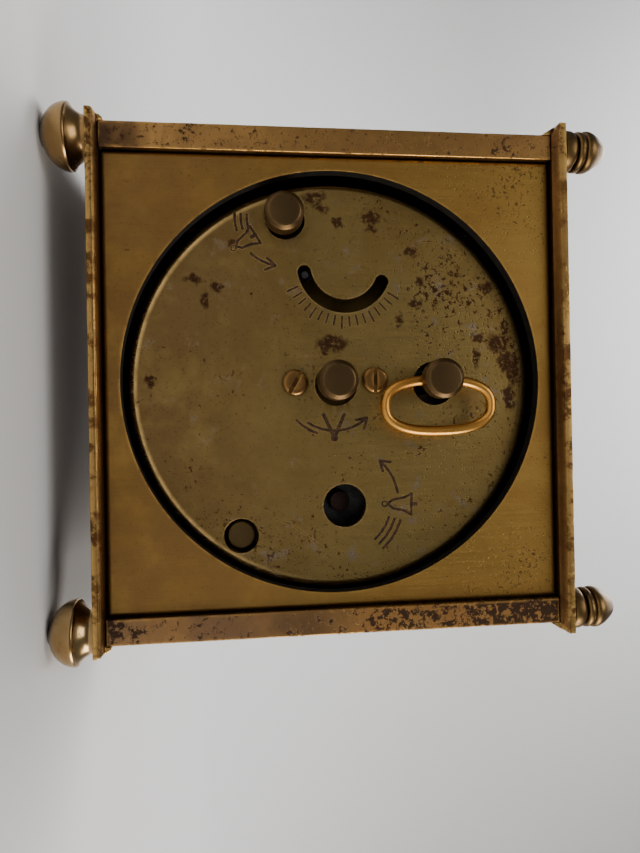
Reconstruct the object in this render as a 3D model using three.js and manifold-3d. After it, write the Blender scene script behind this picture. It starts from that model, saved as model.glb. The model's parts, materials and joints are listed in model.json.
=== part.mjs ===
// A small brass carriage alarm clock: a four-pillar case on ball feet, with a round movement behind
// a pressed back cover. Millimetres. +Z is up, the dial faces -Y and the winding side faces +Y.
// The origin is on the ground under the middle of the whole box. Wheels turn about the Y axis.
import * as THREE from "three";
import { mergeVertices } from "three/addons/utils/BufferGeometryUtils.js";
import Module from "manifold-3d";

const wasm = await Module();
wasm.setup();

// ---------------------------------------------------------------- driving dimensions
const CASE_HALF_WIDTH = 37.5;
const CASE_HALF_DEPTH = 21;
const FOOT_HEIGHT = 6.7;
const BASE_TOP = 8.2;
const TOP_UNDERSIDE = 76;
const TOP_SURFACE = 77.8;
const FINIAL_HEIGHT = 7.7;
const PILLAR = 3.8;
const OVERHANG = 1.35;
const SIDE_MOULDING_DROP = 1.4; // how far the top plate's side mouldings hang below its underside
const SIDE_MOULDING_RISE = 0.9; // how far the base plate's side mouldings stand above its top
const SEAM = 0.05; // between pieces that are screwed hard together
const GAP = 0.2; // around the loose-fitting panels
const FIT = 0.15; // between an arbor and the hole it turns in

const CENTRE_Z = 42.1; // the movement's and the dial's centre height
const PANEL_FACE = 20.2; // depth of the flat of the front and rear panels
const PANEL_ROLL = 0.9; // radius of the rolled panel edges
const REAR_HOLE_RADIUS = 31.4;
const FRONT_HOLE_RADIUS = 28.5;
const COVER_FACE = 17.6;
const COVER_RADIUS = 30.9;
const COVER_SHEET = 0.6;
const COVER_OFFSET = -0.4; // the cover sits a little off centre
const DRUM_RADIUS = 30.2;
const DRUM_FRONT = -12.6;
const DIAL_FACE = -17.6; // front face of the dial
const DIAL_RADIUS = 28;
const PLATE_RADIUS = 28.5;
const PLATE_FRONT = -8.6;
const PLATE_REAR = 7.4;
const PLATE_SHEET = 1.2;

// Where the arbors stand, as [X, Z].
const CENTRE = [0, CENTRE_Z];
const TIME_BARREL = [0, CENTRE_Z + 15.4];
const ALARM_BARREL = [-18.6, 43.1];
const ALARM_SET = [25.1, 34.7];
const BALANCE = [18, 44];
const STOP_BUTTON = [-23, 27.6];
const THIRD = [5.5, CENTRE_Z - Math.sqrt(12 ** 2 - 5.5 ** 2)];
const KNOB_RADIUS = 2.95;
const REGULATOR_BEARING = THREE.MathUtils.degToRad(256);
const FINE = 32; // facets round the largest circles

// The depths, as [low Y, high Y], of everything that turns or swings.
const LAYER = {
  minuteHand: [-19, -18.8],
  hourHand: [-18.45, -18.25],
  alarmHand: [-17.9, -17.7],
  alarmWheels: [-14.2, -13.2],
  minutePinion: [-11.9, -10.1],
  hourWheel: [-11.8, -10.8],
  cannonPinion: [-10.3, -9.1],
  minuteWheel: [-10.2, -9.2],
  thirdPinion: [-5.8, -4.4],
  centreWheel: [-5.6, -4.6],
  centrePinion: [-3.3, -1.6],
  barrelWheel: [-3.2, -1.6],
  timeBarrel: [-2, 5.5],
  alarmBarrel: [-3.2, 5.5],
  escapePinion: [-0.6, 0.6],
  thirdWheel: [-0.5, 0.4],
  hammerArms: [1.2, 2.2],
  escapeWheel: [2.2, 3],
  palletFork: [3.3, 4],
  balanceRim: [5, 6],
  balanceArm: [5.1, 5.8],
  hairspring: [6.4, 6.9],
  ratchets: [9, 10],
  click: [9, 9.9],
  regulator: [15.5, 16.1],
};

// ---------------------------------------------------------------- shapes and booleans
const brass = { color: 0x9a7b3a, roughness: 0.42, metalness: 1 };
const brightBrass = { color: 0xc9a45a, roughness: 0.25, metalness: 1 };
const darkBrass = { color: 0x5e4527, roughness: 0.5, metalness: 1 };
const bareSteel = { color: 0x8f9194, roughness: 0.35, metalness: 1 };
const dialWhite = { color: 0xe9e4d4, roughness: 0.6, metalness: 0 };
const blackPaint = { color: 0x16161a, roughness: 0.4, metalness: 0.2 };
const clearGlass = { color: 0xe8f2f0, roughness: 0.05, metalness: 0, transparent: true, opacity: 0.3 };

const clock = new THREE.Group();

function addPart(name, geometry, finish, at = [0, 0, 0]) {
  const mesh = new THREE.Mesh(geometry, new THREE.MeshStandardMaterial(finish));
  mesh.name = name;
  mesh.position.set(...at);
  clock.add(mesh);
}

function toSolid(geometry) {
  const bare = geometry.index ? geometry.toNonIndexed() : geometry.clone();
  bare.deleteAttribute("normal");
  bare.deleteAttribute("uv");
  const merged = mergeVertices(bare, 1e-4);
  return new wasm.Manifold(
    new wasm.Mesh({
      numProp: 3,
      vertProperties: merged.attributes.position.array,
      triVerts: new Uint32Array(merged.index.array),
    }),
  );
}

function toGeometry(solid) {
  const mesh = solid.getMesh();
  const geometry = new THREE.BufferGeometry();
  geometry.setAttribute("position", new THREE.BufferAttribute(mesh.vertProperties, 3));
  geometry.setIndex(new THREE.BufferAttribute(mesh.triVerts, 1));
  geometry.computeVertexNormals();
  return geometry;
}

function join(...geometries) {
  return toGeometry(geometries.map(toSolid).reduce((sum, piece) => sum.add(piece)));
}

function cut(body, ...tools) {
  return toGeometry(tools.map(toSolid).reduce((rest, tool) => rest.subtract(tool), toSolid(body)));
}

// A solid of revolution about the Y axis from [radius, y] points, listed from low y to high y outside.
function turned(points, [x, z] = [0, 0], segments = 24) {
  const profile = points.map(([radius, y]) => new THREE.Vector2(radius, y));
  return new THREE.LatheGeometry(profile, segments).translate(x, 0, z);
}

function rod(radius, yLow, yHigh, at = [0, 0], segments = 16) {
  return turned([[0, yLow], [radius, yLow], [radius, yHigh], [0, yHigh]], at, segments);
}

function tube(inner, outer, yLow, yHigh, at = [0, 0], segments = 24) {
  return turned(
    [[inner, yLow], [outer, yLow], [outer, yHigh], [inner, yHigh], [inner, yLow]],
    at,
    segments,
  );
}

// Stands a piece that was turned about Y upright, so its axis is Z.
function upright(geometry) {
  return geometry.rotateX(Math.PI / 2);
}

// An X-Z outline given thickness along Y.
function slab(shape, yLow, yHigh, [x, z] = [0, 0]) {
  const options = { depth: yHigh - yLow, bevelEnabled: false, curveSegments: 6 };
  return new THREE.ExtrudeGeometry(shape, options).rotateX(Math.PI / 2).translate(x, yHigh, z);
}

function outline(points) {
  return new THREE.Shape(points.map(([x, z]) => new THREE.Vector2(x, z)));
}

function box(xLow, xHigh, yLow, yHigh, zLow, zHigh) {
  return new THREE.BoxGeometry(xHigh - xLow, yHigh - yLow, zHigh - zLow).translate(
    (xLow + xHigh) / 2,
    (yLow + yHigh) / 2,
    (zLow + zHigh) / 2,
  );
}

function polar(radius, angle) {
  return [radius * Math.cos(angle), radius * Math.sin(angle)];
}

// A wheel's outline. A tooth stands at the phase angle, and each tooth is a trapezium.
function gearShape(teeth, module, phase, bore) {
  const pitch = (teeth * module) / 2;
  const step = (2 * Math.PI) / teeth;
  const points = [];
  for (let tooth = 0; tooth < teeth; tooth++) {
    const middle = phase + tooth * step;
    points.push(polar(pitch - 1.1 * module, middle - 0.3 * step));
    points.push(polar(pitch + 0.8 * module, middle - 0.1 * step));
    points.push(polar(pitch + 0.8 * module, middle + 0.1 * step));
    points.push(polar(pitch - 1.1 * module, middle + 0.3 * step));
  }
  const shape = outline(points);
  shape.holes.push(new THREE.Path().absarc(0, 0, bore, 0, 2 * Math.PI, true));
  return shape;
}

function gear(teeth, module, phase, bore, yLow, yHigh, at) {
  return slab(gearShape(teeth, module, phase, bore), yLow, yHigh, at);
}

// The bearing from one arbor to another, in the X-Z plane.
function bearing(from, to) {
  return Math.atan2(to[1] - from[1], to[0] - from[0]);
}

// The phase that puts a gap of this wheel where a tooth of the wheel it meshes with stands.
function meshPhase(teeth, at, otherTeeth, otherPhase, otherAt) {
  const towards = bearing(at, otherAt);
  const otherStep = (2 * Math.PI) / otherTeeth;
  const otherOffset = (bearing(otherAt, at) - otherPhase) / otherStep;
  const step = (2 * Math.PI) / teeth;
  return towards + step * (0.5 + otherOffset);
}

// Saw-shaped teeth, for ratchet and escape wheels.
function sawShape(teeth, inner, outer, lean, bore) {
  const step = (2 * Math.PI) / teeth;
  const points = [];
  for (let tooth = 0; tooth < teeth; tooth++) {
    points.push(polar(inner, tooth * step));
    points.push(polar(outer, (tooth + lean) * step));
  }
  const shape = outline(points);
  shape.holes.push(new THREE.Path().absarc(0, 0, bore, 0, 2 * Math.PI, true));
  return shape;
}

// A straight bar between two X-Z points, with square ends.
function barShape(from, to, width) {
  const angle = bearing(from, to) + Math.PI / 2;
  const [dx, dz] = polar(width / 2, angle);
  return outline([
    [from[0] - dx, from[1] - dz],
    [to[0] - dx, to[1] - dz],
    [to[0] + dx, to[1] + dz],
    [from[0] + dx, from[1] + dz],
  ]);
}

// ---------------------------------------------------------------- case
// A plate whose edge section, [overhang, z] points, runs round all four sides.
function mouldedPlate(section) {
  const levels = section.map(([reach, z]) => {
    const x = CASE_HALF_WIDTH + reach;
    const y = CASE_HALF_DEPTH + reach;
    return [[x, y, z], [-x, y, z], [-x, -y, z], [x, -y, z]];
  });
  const corners = levels.flat();
  const faces = [[0, 3, 2], [0, 2, 1]];
  const top = 4 * (levels.length - 1);
  faces.push([top, top + 1, top + 2], [top, top + 2, top + 3]);
  for (let level = 0; level < levels.length - 1; level++) {
    for (let side = 0; side < 4; side++) {
      const a = 4 * level + side;
      const b = 4 * level + ((side + 1) % 4);
      faces.push([a, b, b + 4], [a, b + 4, a + 4]);
    }
  }
  const geometry = new THREE.BufferGeometry();
  geometry.setAttribute("position", new THREE.Float32BufferAttribute(corners.flat(), 3));
  geometry.setIndex(faces.flat());
  return geometry;
}

// The moulding along one side of a plate: an [overhang, z] section that runs the plate's full depth.
function sideMoulding(side, section) {
  const shape = outline(section.map(([reach, z]) => [side * (CASE_HALF_WIDTH + reach), z]));
  return slab(shape, -CASE_HALF_DEPTH, CASE_HALF_DEPTH);
}

function makePlates() {
  const round = OVERHANG;
  const baseEdge = [[OVERHANG, FOOT_HEIGHT], [OVERHANG, BASE_TOP - 0.7]];
  for (const turn of [30, 60, 90]) {
    const angle = THREE.MathUtils.degToRad(turn);
    baseEdge.push([round * Math.cos(angle), BASE_TOP - 0.7 + 0.7 * Math.sin(angle)]);
  }
  const riseSection = [
    [SEAM, BASE_TOP - 0.5],
    [1.1, BASE_TOP - 0.5],
    [0.9, BASE_TOP + 0.3],
    [0.5, BASE_TOP + 0.75],
    [SEAM, BASE_TOP + SIDE_MOULDING_RISE],
  ];
  const dropSection = [
    [SEAM, TOP_UNDERSIDE - SIDE_MOULDING_DROP],
    [SEAM, TOP_UNDERSIDE + 0.5],
    [1.25, TOP_UNDERSIDE + 0.5],
  ];
  const topEdge = [[0, TOP_UNDERSIDE], [OVERHANG, TOP_UNDERSIDE + 0.75], [OVERHANG, TOP_SURFACE]];
  const sides = [-1, 1];
  addPart(
    "base_plate",
    join(mouldedPlate(baseEdge), ...sides.map((side) => sideMoulding(side, riseSection))),
    brass,
  );
  addPart(
    "top_plate",
    join(mouldedPlate(topEdge), ...sides.map((side) => sideMoulding(side, dropSection))),
    brass,
  );
}

// Calls make(label, sideX, sideY) for the four corners of the case.
function forCorners(make) {
  for (const [depthName, sideY] of [["rear", 1], ["front", -1]]) {
    for (const [widthName, sideX] of [["left", -1], ["right", 1]]) {
      make(depthName + "_" + widthName, sideX, sideY);
    }
  }
}

const CORNER_X = CASE_HALF_WIDTH - 1.6;
const CORNER_Y = CASE_HALF_DEPTH - 2.4;

function makeCorners() {
  const half = PILLAR / 2;
  forCorners((corner, sideX, sideY) => {
    const x = sideX * (CASE_HALF_WIDTH - half);
    const y = sideY * (CASE_HALF_DEPTH - half);
    addPart(
      "pillar_" + corner,
      box(x - half, x + half, y - half, y + half, BASE_TOP + SEAM, TOP_UNDERSIDE - SEAM),
      brass,
    );
    const at = [sideX * CORNER_X, sideY * CORNER_Y];
    addPart("foot_" + corner, footShape(), brightBrass, [...at, 0]);
    addPart("finial_" + corner, finialShape(), darkBrass, [...at, TOP_SURFACE + SEAM]);
  });
}

// A ball foot: a dome below a crisp rim, then a hollow neck up to the base plate.
function footShape() {
  const rimHeight = 3.9;
  const domeRadius = 4.8;
  const points = [[0, 0]];
  for (const turn of [-72, -50, -28, -10, 0]) {
    const angle = THREE.MathUtils.degToRad(turn);
    const height = turn === -72 ? 0 : rimHeight * (1 + Math.sin(angle));
    points.push([domeRadius * Math.cos(angle), height]);
  }
  points.push([4.35, 4.3], [3.7, 4.9], [3.3, 5.7], [3.15, FOOT_HEIGHT - SEAM], [0, FOOT_HEIGHT - SEAM]);
  return upright(turned(points, [0, 0], 12));
}

// A turned finial: a neck, two beads with a groove between them, and a blunt cone.
function finialShape() {
  const points = [
    [0, 0], [2.45, 0], [3.15, 0.8], [3.15, 1.6], [2.3, 2.45], [3.15, 3.1], [3.15, 4.5],
    [2.6, 4.9], [1.5, 6.9], [0.8, FINIAL_HEIGHT], [0, FINIAL_HEIGHT],
  ];
  return upright(turned(points, [0, 0], 12));
}

// ---------------------------------------------------------------- panels, bezel and dial
// A sheet with rolled edges, facing +Y with its face at y = 0, centred on the origin.
function rolledSheet(width, height) {
  const w = width / 2;
  const h = height / 2;
  const options = {
    depth: 0.2,
    bevelThickness: PANEL_ROLL,
    bevelSize: PANEL_ROLL,
    bevelOffset: -PANEL_ROLL,
    bevelSegments: 3,
  };
  const shape = outline([[-w, -h], [w, -h], [w, h], [-w, h]]);
  return new THREE.ExtrudeGeometry(shape, options).rotateX(Math.PI / 2).translate(0, -PANEL_ROLL, 0);
}

function makePanels() {
  const height = TOP_UNDERSIDE - BASE_TOP - 2 * GAP;
  const middle = (TOP_UNDERSIDE + BASE_TOP) / 2;
  const wide = 2 * (CASE_HALF_WIDTH - PILLAR - GAP);
  const deep = 2 * (CASE_HALF_DEPTH - PILLAR - GAP);
  const rear = rolledSheet(wide, height).translate(0, PANEL_FACE, middle);
  const front = rolledSheet(wide, height).rotateZ(Math.PI).translate(0, -PANEL_FACE, middle);
  const rearHole = rod(REAR_HOLE_RADIUS, PANEL_FACE - 5, PANEL_FACE + 5, CENTRE, FINE);
  const frontHole = rod(FRONT_HOLE_RADIUS, -PANEL_FACE - 5, -PANEL_FACE + 5, CENTRE, FINE);
  addPart("rear_panel", cut(rear, rearHole), brass);
  addPart("front_panel", cut(front, frontHole), brass);
  for (const [label, side] of [["left", -1], ["right", 1]]) {
    const sheet = rolledSheet(deep, height).rotateZ(-side * (Math.PI / 2));
    const face = side * (CASE_HALF_WIDTH - 0.8);
    addPart(label + "_panel", sheet.translate(face, 0, middle), brass);
  }
}

function makeFace() {
  const lip = 26;
  const front = -CASE_HALF_DEPTH - 0.9;
  const seat = -PANEL_FACE - 0.1;
  const barrel = FRONT_HOLE_RADIUS - 0.2;
  const bezel = [
    [lip, front + 0.5], [lip + 1, front], [30.2, front + 1], [30.2, seat], [barrel, seat],
    [barrel, front + 4], [barrel - 1.1, front + 4], [barrel - 1.1, front + 0.9], [lip, front + 0.9],
    [lip, front + 0.5],
  ];
  addPart("bezel", turned(bezel, CENTRE, FINE), brightBrass);
  addPart("glass", rod(barrel - 1.2, front + 1, front + 1.9, CENTRE, FINE), clearGlass);
  addPart("dial", tube(2.6, DIAL_RADIUS, DIAL_FACE, DIAL_FACE + 0.6, CENTRE, FINE), dialWhite);
}

// ---------------------------------------------------------------- movement case
const CAN = [COVER_OFFSET, CENTRE_Z];
const ARBOR_REAR = 12; // where the arbors that carry a knob or the key end
const HOLE_SHIFT = [-0.3, 0.3]; // the cover's holes sit a little off the arbors
const SLOT_RADIUS = 6.3;
const SLOT_HALF_WIDTH = 1.05;
const SLOT_ENDS = [THREE.MathUtils.degToRad(113), THREE.MathUtils.degToRad(260)];

function shifted([x, z]) {
  return [x + HOLE_SHIFT[0], z + HOLE_SHIFT[1]];
}

// The curved opening over the regulator, with round ends.
function slotShape() {
  const [start, end] = SLOT_ENDS;
  const shape = new THREE.Shape();
  shape.absarc(0, 0, SLOT_RADIUS + SLOT_HALF_WIDTH, start, end, false);
  shape.absarc(...polar(SLOT_RADIUS, end), SLOT_HALF_WIDTH, end, end + Math.PI, false);
  shape.absarc(0, 0, SLOT_RADIUS - SLOT_HALF_WIDTH, end, start, true);
  shape.absarc(...polar(SLOT_RADIUS, start), SLOT_HALF_WIDTH, start + Math.PI, start + 2 * Math.PI, false);
  return shape;
}

function slotCutter() {
  const options = { depth: 2, bevelEnabled: false, curveSegments: 10 };
  const slot = new THREE.ExtrudeGeometry(slotShape(), options).rotateX(Math.PI / 2);
  return slot.translate(BALANCE[0], COVER_FACE + 1, BALANCE[1]);
}

const SCREWS = [[0, CENTRE_Z - 6], [0.3, CENTRE_Z + 6.3]];

function makeMovementCase() {
  const inside = COVER_FACE - COVER_SHEET;
  const skirt = COVER_FACE - 4;
  const wall = COVER_RADIUS - COVER_SHEET;
  const pan = [
    [0, inside], [wall, inside], [wall, skirt], [COVER_RADIUS, skirt], [COVER_RADIUS, COVER_FACE - 0.9],
    [COVER_RADIUS - 0.8, COVER_FACE], [0, COVER_FACE],
  ];
  const holes = [
    [shifted(CENTRE), 3.3],
    [shifted(TIME_BARREL), 3.4],
    [shifted(ALARM_BARREL), 3.3],
    [shifted(ALARM_SET), 3],
    [STOP_BUTTON, 2.6],
    ...SCREWS.map((at) => [at, 1.1]),
  ];
  const cutters = holes.map(([at, radius]) => rod(radius, inside - 1, COVER_FACE + 1, at, 14));
  addPart("rear_cover", cut(turned(pan, CAN, FINE), ...cutters, slotCutter()), brass);
  addPart("movement_drum", tube(DRUM_RADIUS - 0.6, DRUM_RADIUS, DRUM_FRONT, 14.6, CAN, FINE), brass);
  SCREWS.forEach((at, index) => {
    const low = PLATE_REAR + PLATE_SHEET + 0.3;
    const seat = COVER_FACE + SEAM;
    const head = [[0, low], [0.9, low], [0.9, seat], [1.95, seat], [1.95, seat + 0.4], [1.6, seat + 0.7]];
    const slot = box(-0.25, 0.25, seat + 0.35, seat + 1, -2.2, 2.2);
    const turn = index === 0 ? -0.5 : 0;
    slot.rotateY(turn).rotateY(Math.PI / 2).translate(at[0], 0, at[1]);
    const body = turned([...head, [0, seat + 0.7]], at, 16);
    addPart("cover_screw_" + (index + 1), cut(body, slot), darkBrass);
  });
}

// ---------------------------------------------------------------- movement frame
const MINUTE_DISTANCE = 9.6;
const MINUTE = [
  MINUTE_DISTANCE * Math.cos(THREE.MathUtils.degToRad(240)),
  CENTRE_Z + MINUTE_DISTANCE * Math.sin(THREE.MathUtils.degToRad(240)),
];
const ALARM_MODULE = 1;
const ALARM_TEETH = { dial: 18, idler: 14, set: 8 };
const ESCAPE = [THIRD[0] + 10.75 * Math.cos(0.262), THIRD[1] + 10.75 * Math.sin(0.262)];
const PALLET_STEP = 4.9; // from the escape wheel's arbor towards the balance
const HAMMER = [-14.8, 28.4];
const CLICK = [TIME_BARREL[0] - 7, TIME_BARREL[1] - 2.5];

// The idler stands where both of its mesh distances meet.
function idlerPlace() {
  const first = (ALARM_MODULE * (ALARM_TEETH.dial + ALARM_TEETH.idler)) / 2;
  const second = (ALARM_MODULE * (ALARM_TEETH.idler + ALARM_TEETH.set)) / 2;
  const [dx, dz] = [ALARM_SET[0] - CENTRE[0], ALARM_SET[1] - CENTRE[1]];
  const span = Math.hypot(dx, dz);
  const along = (first ** 2 - second ** 2 + span ** 2) / (2 * span);
  const aside = Math.sqrt(first ** 2 - along ** 2);
  return [
    CENTRE[0] + (along * dx + aside * dz) / span,
    CENTRE[1] + (along * dz - aside * dx) / span,
  ];
}

const IDLER = idlerPlace();
const PALLET_BEARING = bearing(ESCAPE, BALANCE);
const PALLET = [
  ESCAPE[0] + PALLET_STEP * Math.cos(PALLET_BEARING),
  ESCAPE[1] + PALLET_STEP * Math.sin(PALLET_BEARING),
];

function makeMovementFrame() {
  const bores = [
    [CENTRE, 0.9 + FIT], [ALARM_SET, 0.9 + FIT], [TIME_BARREL, 1.4 + FIT], [ALARM_BARREL, 1.4 + FIT],
    [THIRD, 0.5 + FIT], [ESCAPE, 0.5 + FIT], [BALANCE, 0.5 + FIT],
  ];
  const drills = (yLow) => bores.map(([at, radius]) => rod(radius, yLow - 1, yLow + 3, at, 12));
  const frontDisc = rod(PLATE_RADIUS, PLATE_FRONT, PLATE_FRONT + PLATE_SHEET, CENTRE, 40);
  const rearDisc = rod(PLATE_RADIUS, PLATE_REAR, PLATE_REAR + PLATE_SHEET, CENTRE, 40);
  const rooted = 0.4; // how deep a stud goes into its plate
  const minuteStud = rod(0.7, LAYER.minutePinion[0] - 0.3, PLATE_FRONT + rooted, MINUTE, 10);
  const idlerStud = rod(0.8, LAYER.alarmWheels[0] - 0.3, PLATE_FRONT + rooted, IDLER, 10);
  const rear = PLATE_REAR + PLATE_SHEET;
  const regulatorStud = rod(1, rear - rooted, LAYER.regulator[1] + 0.3, BALANCE, 12);
  const clickStud = rod(0.7, rear - rooted, LAYER.click[1] + 0.2, CLICK, 10);
  const drilledFront = cut(frontDisc, ...drills(PLATE_FRONT));
  const drilledRear = cut(rearDisc, ...drills(PLATE_REAR));
  addPart("front_movement_plate", join(drilledFront, minuteStud, idlerStud), brass);
  addPart("rear_movement_plate", join(drilledRear, regulatorStud, clickStud), brass);
  [50, 130, 270].forEach((turn, index) => {
    const [x, z] = polar(25.5, THREE.MathUtils.degToRad(turn));
    const pillar = rod(1.6, PLATE_FRONT + PLATE_SHEET + SEAM, PLATE_REAR - SEAM, [x, CENTRE_Z + z], 12);
    addPart("movement_pillar_" + (index + 1), pillar, brass);
  });
}

// ---------------------------------------------------------------- time train
const GREAT = { teeth: 24, pinion: 6, module: 15.4 / 15 };
const CENTRE_MESH = { teeth: 24, pinion: 6, module: 0.8 };
const THIRD_MESH = { teeth: 24, pinion: 6, module: 10.75 / 15 };
const ARBOR_PIVOT = 8; // the plain arbors end inside the plates, this far from the middle
const BETWEEN_PLATES = 7.2; // a short arbor or a pipe ends this far from the middle, clear of both plates

function makeTimeTrain() {
  const pinionPhase = meshPhase(GREAT.pinion, CENTRE, GREAT.teeth, 0, TIME_BARREL);
  addPart(
    "time_barrel",
    join(
      gear(GREAT.teeth, GREAT.module, 0, 1.6, ...LAYER.barrelWheel, TIME_BARREL),
      tube(1.6, 11.3, ...LAYER.timeBarrel, TIME_BARREL, 24),
    ),
    brass,
  );
  addPart(
    "centre_wheel",
    join(
      gear(CENTRE_MESH.teeth, CENTRE_MESH.module, 0, 1.05, ...LAYER.centreWheel, CENTRE),
      gear(GREAT.pinion, GREAT.module, pinionPhase, 1.05, ...LAYER.centrePinion, CENTRE),
      tube(1.05, 1.7, -BETWEEN_PLATES, BETWEEN_PLATES, CENTRE, 16),
    ),
    brass,
  );
  const thirdPhase = meshPhase(CENTRE_MESH.pinion, THIRD, CENTRE_MESH.teeth, 0, CENTRE);
  addPart(
    "third_wheel",
    join(
      gear(CENTRE_MESH.pinion, CENTRE_MESH.module, thirdPhase, 0.3, ...LAYER.thirdPinion, THIRD),
      gear(THIRD_MESH.teeth, THIRD_MESH.module, 0, 0.3, ...LAYER.thirdWheel, THIRD),
      rod(0.5, -ARBOR_PIVOT, ARBOR_PIVOT, THIRD, 10),
    ),
    brass,
  );
  const escapePhase = meshPhase(THIRD_MESH.pinion, ESCAPE, THIRD_MESH.teeth, 0, THIRD);
  addPart(
    "escape_wheel",
    join(
      gear(THIRD_MESH.pinion, THIRD_MESH.module, escapePhase, 0.3, ...LAYER.escapePinion, ESCAPE),
      slab(sawShape(15, 3.3, 4.2, 0.7, 0.3), ...LAYER.escapeWheel, ESCAPE),
      rod(0.5, -ARBOR_PIVOT, ARBOR_PIVOT, ESCAPE, 10),
    ),
    bareSteel,
  );
}

function makeEscapement() {
  const reach = Math.hypot(BALANCE[0] - PALLET[0], BALANCE[1] - PALLET[1]) - 1.7;
  const across = PALLET_BEARING + Math.PI / 2;
  const [forkLow, forkHigh] = LAYER.palletFork;
  const pins = [-1, 1].map((side) => {
    const swing = PALLET_BEARING + side * 0.62;
    const [x, z] = polar(4.85, swing);
    return rod(0.25, LAYER.escapeWheel[0] + 0.1, forkHigh - 0.1, [ESCAPE[0] + x, ESCAPE[1] + z], 8);
  });
  addPart(
    "pallet_fork",
    join(
      slab(barShape([0, 0], polar(reach, PALLET_BEARING), 0.9), forkLow, forkHigh, PALLET),
      slab(barShape(polar(-3.1, across), polar(3.1, across), 1.9), forkLow, forkHigh, PALLET),
      rod(0.45, -BETWEEN_PLATES, forkHigh + 0.3, PALLET, 10),
      ...pins,
    ),
    bareSteel,
  );
  const pinAngle = bearing(BALANCE, PALLET);
  const [pinX, pinZ] = polar(1.15, pinAngle);
  addPart(
    "balance_wheel",
    join(
      tube(6.5, 7.4, ...LAYER.balanceRim, BALANCE, 24),
      slab(barShape([-7, 0], [7, 0], 0.9), ...LAYER.balanceArm, BALANCE),
      rod(1.5, forkHigh + 0.3, LAYER.balanceRim[1], BALANCE, 12),
      rod(0.5, -ARBOR_PIVOT, ARBOR_PIVOT, BALANCE, 12),
      rod(0.2, forkLow + 0.1, forkHigh + 0.6, [BALANCE[0] + pinX, BALANCE[1] + pinZ], 8),
    ),
    brightBrass,
  );
  addPart("hairspring", slab(spiralShape(), ...LAYER.hairspring, BALANCE), bareSteel);
}

function makeRegulator() {
  const [low, high] = LAYER.regulator;
  const [tipX, tipZ] = polar(SLOT_RADIUS, REGULATOR_BEARING);
  const arm = barShape(polar(1.6, REGULATOR_BEARING), polar(SLOT_RADIUS + 0.5, REGULATOR_BEARING), 1.4);
  addPart(
    "regulator_lever",
    join(
      tube(1 + FIT, 2.3, low, high, BALANCE, 16),
      slab(arm, low, high, BALANCE),
      rod(0.55, low + 0.1, COVER_FACE - 0.2, [BALANCE[0] + tipX, BALANCE[1] + tipZ], 10),
    ),
    bareSteel,
  );
}

// The flat ribbon of the hairspring, wound out from the collet.
function spiralShape() {
  const turns = 3.5;
  const steps = 42;
  const start = 1.9;
  const growth = 3.6;
  const half = 0.12;
  const side = (offset) =>
    Array.from({ length: steps + 1 }, (_, step) => {
      const share = step / steps;
      return polar(start + growth * share + offset, share * turns * 2 * Math.PI);
    });
  return outline([...side(-half), ...side(half).reverse()].reverse());
}

// ---------------------------------------------------------------- motion work and hands
const CANNON = { teeth: 18, pinion: 6, module: 0.8 };
const HOUR = { teeth: 24, pinion: 6, module: 0.64 };

// A hand lying along a bearing: a hub ring, a tapering blade and a short tail.
function handGeometry({ bore, hub, length, width, tail, angle, layer }) {
  const [yLow, yHigh] = layer;
  const blade = outline([
    [-tail, -0.3 * width], [0.3 * length, -0.5 * width], [length, -0.05],
    [length, 0.05], [0.3 * length, 0.5 * width], [-tail, 0.3 * width],
  ]);
  const ring = tube(bore, hub, yLow, yHigh, [0, 0], 16);
  const hole = rod(bore, yLow - 1, yHigh + 1, [0, 0], 16);
  const hand = join(cut(slab(blade, yLow, yHigh), hole), ring);
  return hand.rotateY(-angle).translate(CENTRE[0], 0, CENTRE[1]);
}

// The bearing of a clock hand that stands this many degrees clockwise of twelve.
function clockwise(degrees) {
  return THREE.MathUtils.degToRad(90 - degrees);
}

function makeMotionWork() {
  addPart(
    "centre_arbor",
    join(
      rod(0.9, LAYER.minuteHand[0] - 0.2, ARBOR_REAR, CENTRE, 16),
      gear(CANNON.pinion, CANNON.module, 0, 0.6, ...LAYER.cannonPinion, CENTRE),
    ),
    bareSteel,
  );
  const minutePhase = meshPhase(CANNON.teeth, MINUTE, CANNON.pinion, 0, CENTRE);
  addPart(
    "minute_wheel",
    join(
      gear(CANNON.teeth, CANNON.module, minutePhase, 0.85, ...LAYER.minuteWheel, MINUTE),
      gear(HOUR.pinion, HOUR.module, 0, 0.85, ...LAYER.minutePinion, MINUTE),
    ),
    brass,
  );
  const hourPhase = meshPhase(HOUR.teeth, CENTRE, HOUR.pinion, 0, MINUTE);
  addPart(
    "hour_wheel",
    join(
      gear(HOUR.teeth, HOUR.module, hourPhase, 1.15, ...LAYER.hourWheel, CENTRE),
      tube(1.15, 1.6, LAYER.hourHand[0] - 0.05, -11, CENTRE, 16),
    ),
    brass,
  );
  const idlerPhase = meshPhase(ALARM_TEETH.idler, IDLER, ALARM_TEETH.dial, 0, CENTRE);
  const setPhase = meshPhase(ALARM_TEETH.set, ALARM_SET, ALARM_TEETH.idler, idlerPhase, IDLER);
  addPart(
    "alarm_dial_wheel",
    join(
      gear(ALARM_TEETH.dial, ALARM_MODULE, 0, 1.8, ...LAYER.alarmWheels, CENTRE),
      tube(1.8, 2.3, LAYER.alarmHand[0] - 0.05, LAYER.alarmWheels[1] - 0.2, CENTRE, 16),
    ),
    brass,
  );
  addPart(
    "alarm_idler_wheel",
    gear(ALARM_TEETH.idler, ALARM_MODULE, idlerPhase, 0.95, ...LAYER.alarmWheels, IDLER),
    brass,
  );
  addPart(
    "alarm_set_arbor",
    join(
      gear(ALARM_TEETH.set, ALARM_MODULE, setPhase, 0.6, ...LAYER.alarmWheels, ALARM_SET),
      rod(0.9, LAYER.alarmWheels[0] - 0.4, ARBOR_REAR, ALARM_SET, 12),
    ),
    bareSteel,
  );
}

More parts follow.
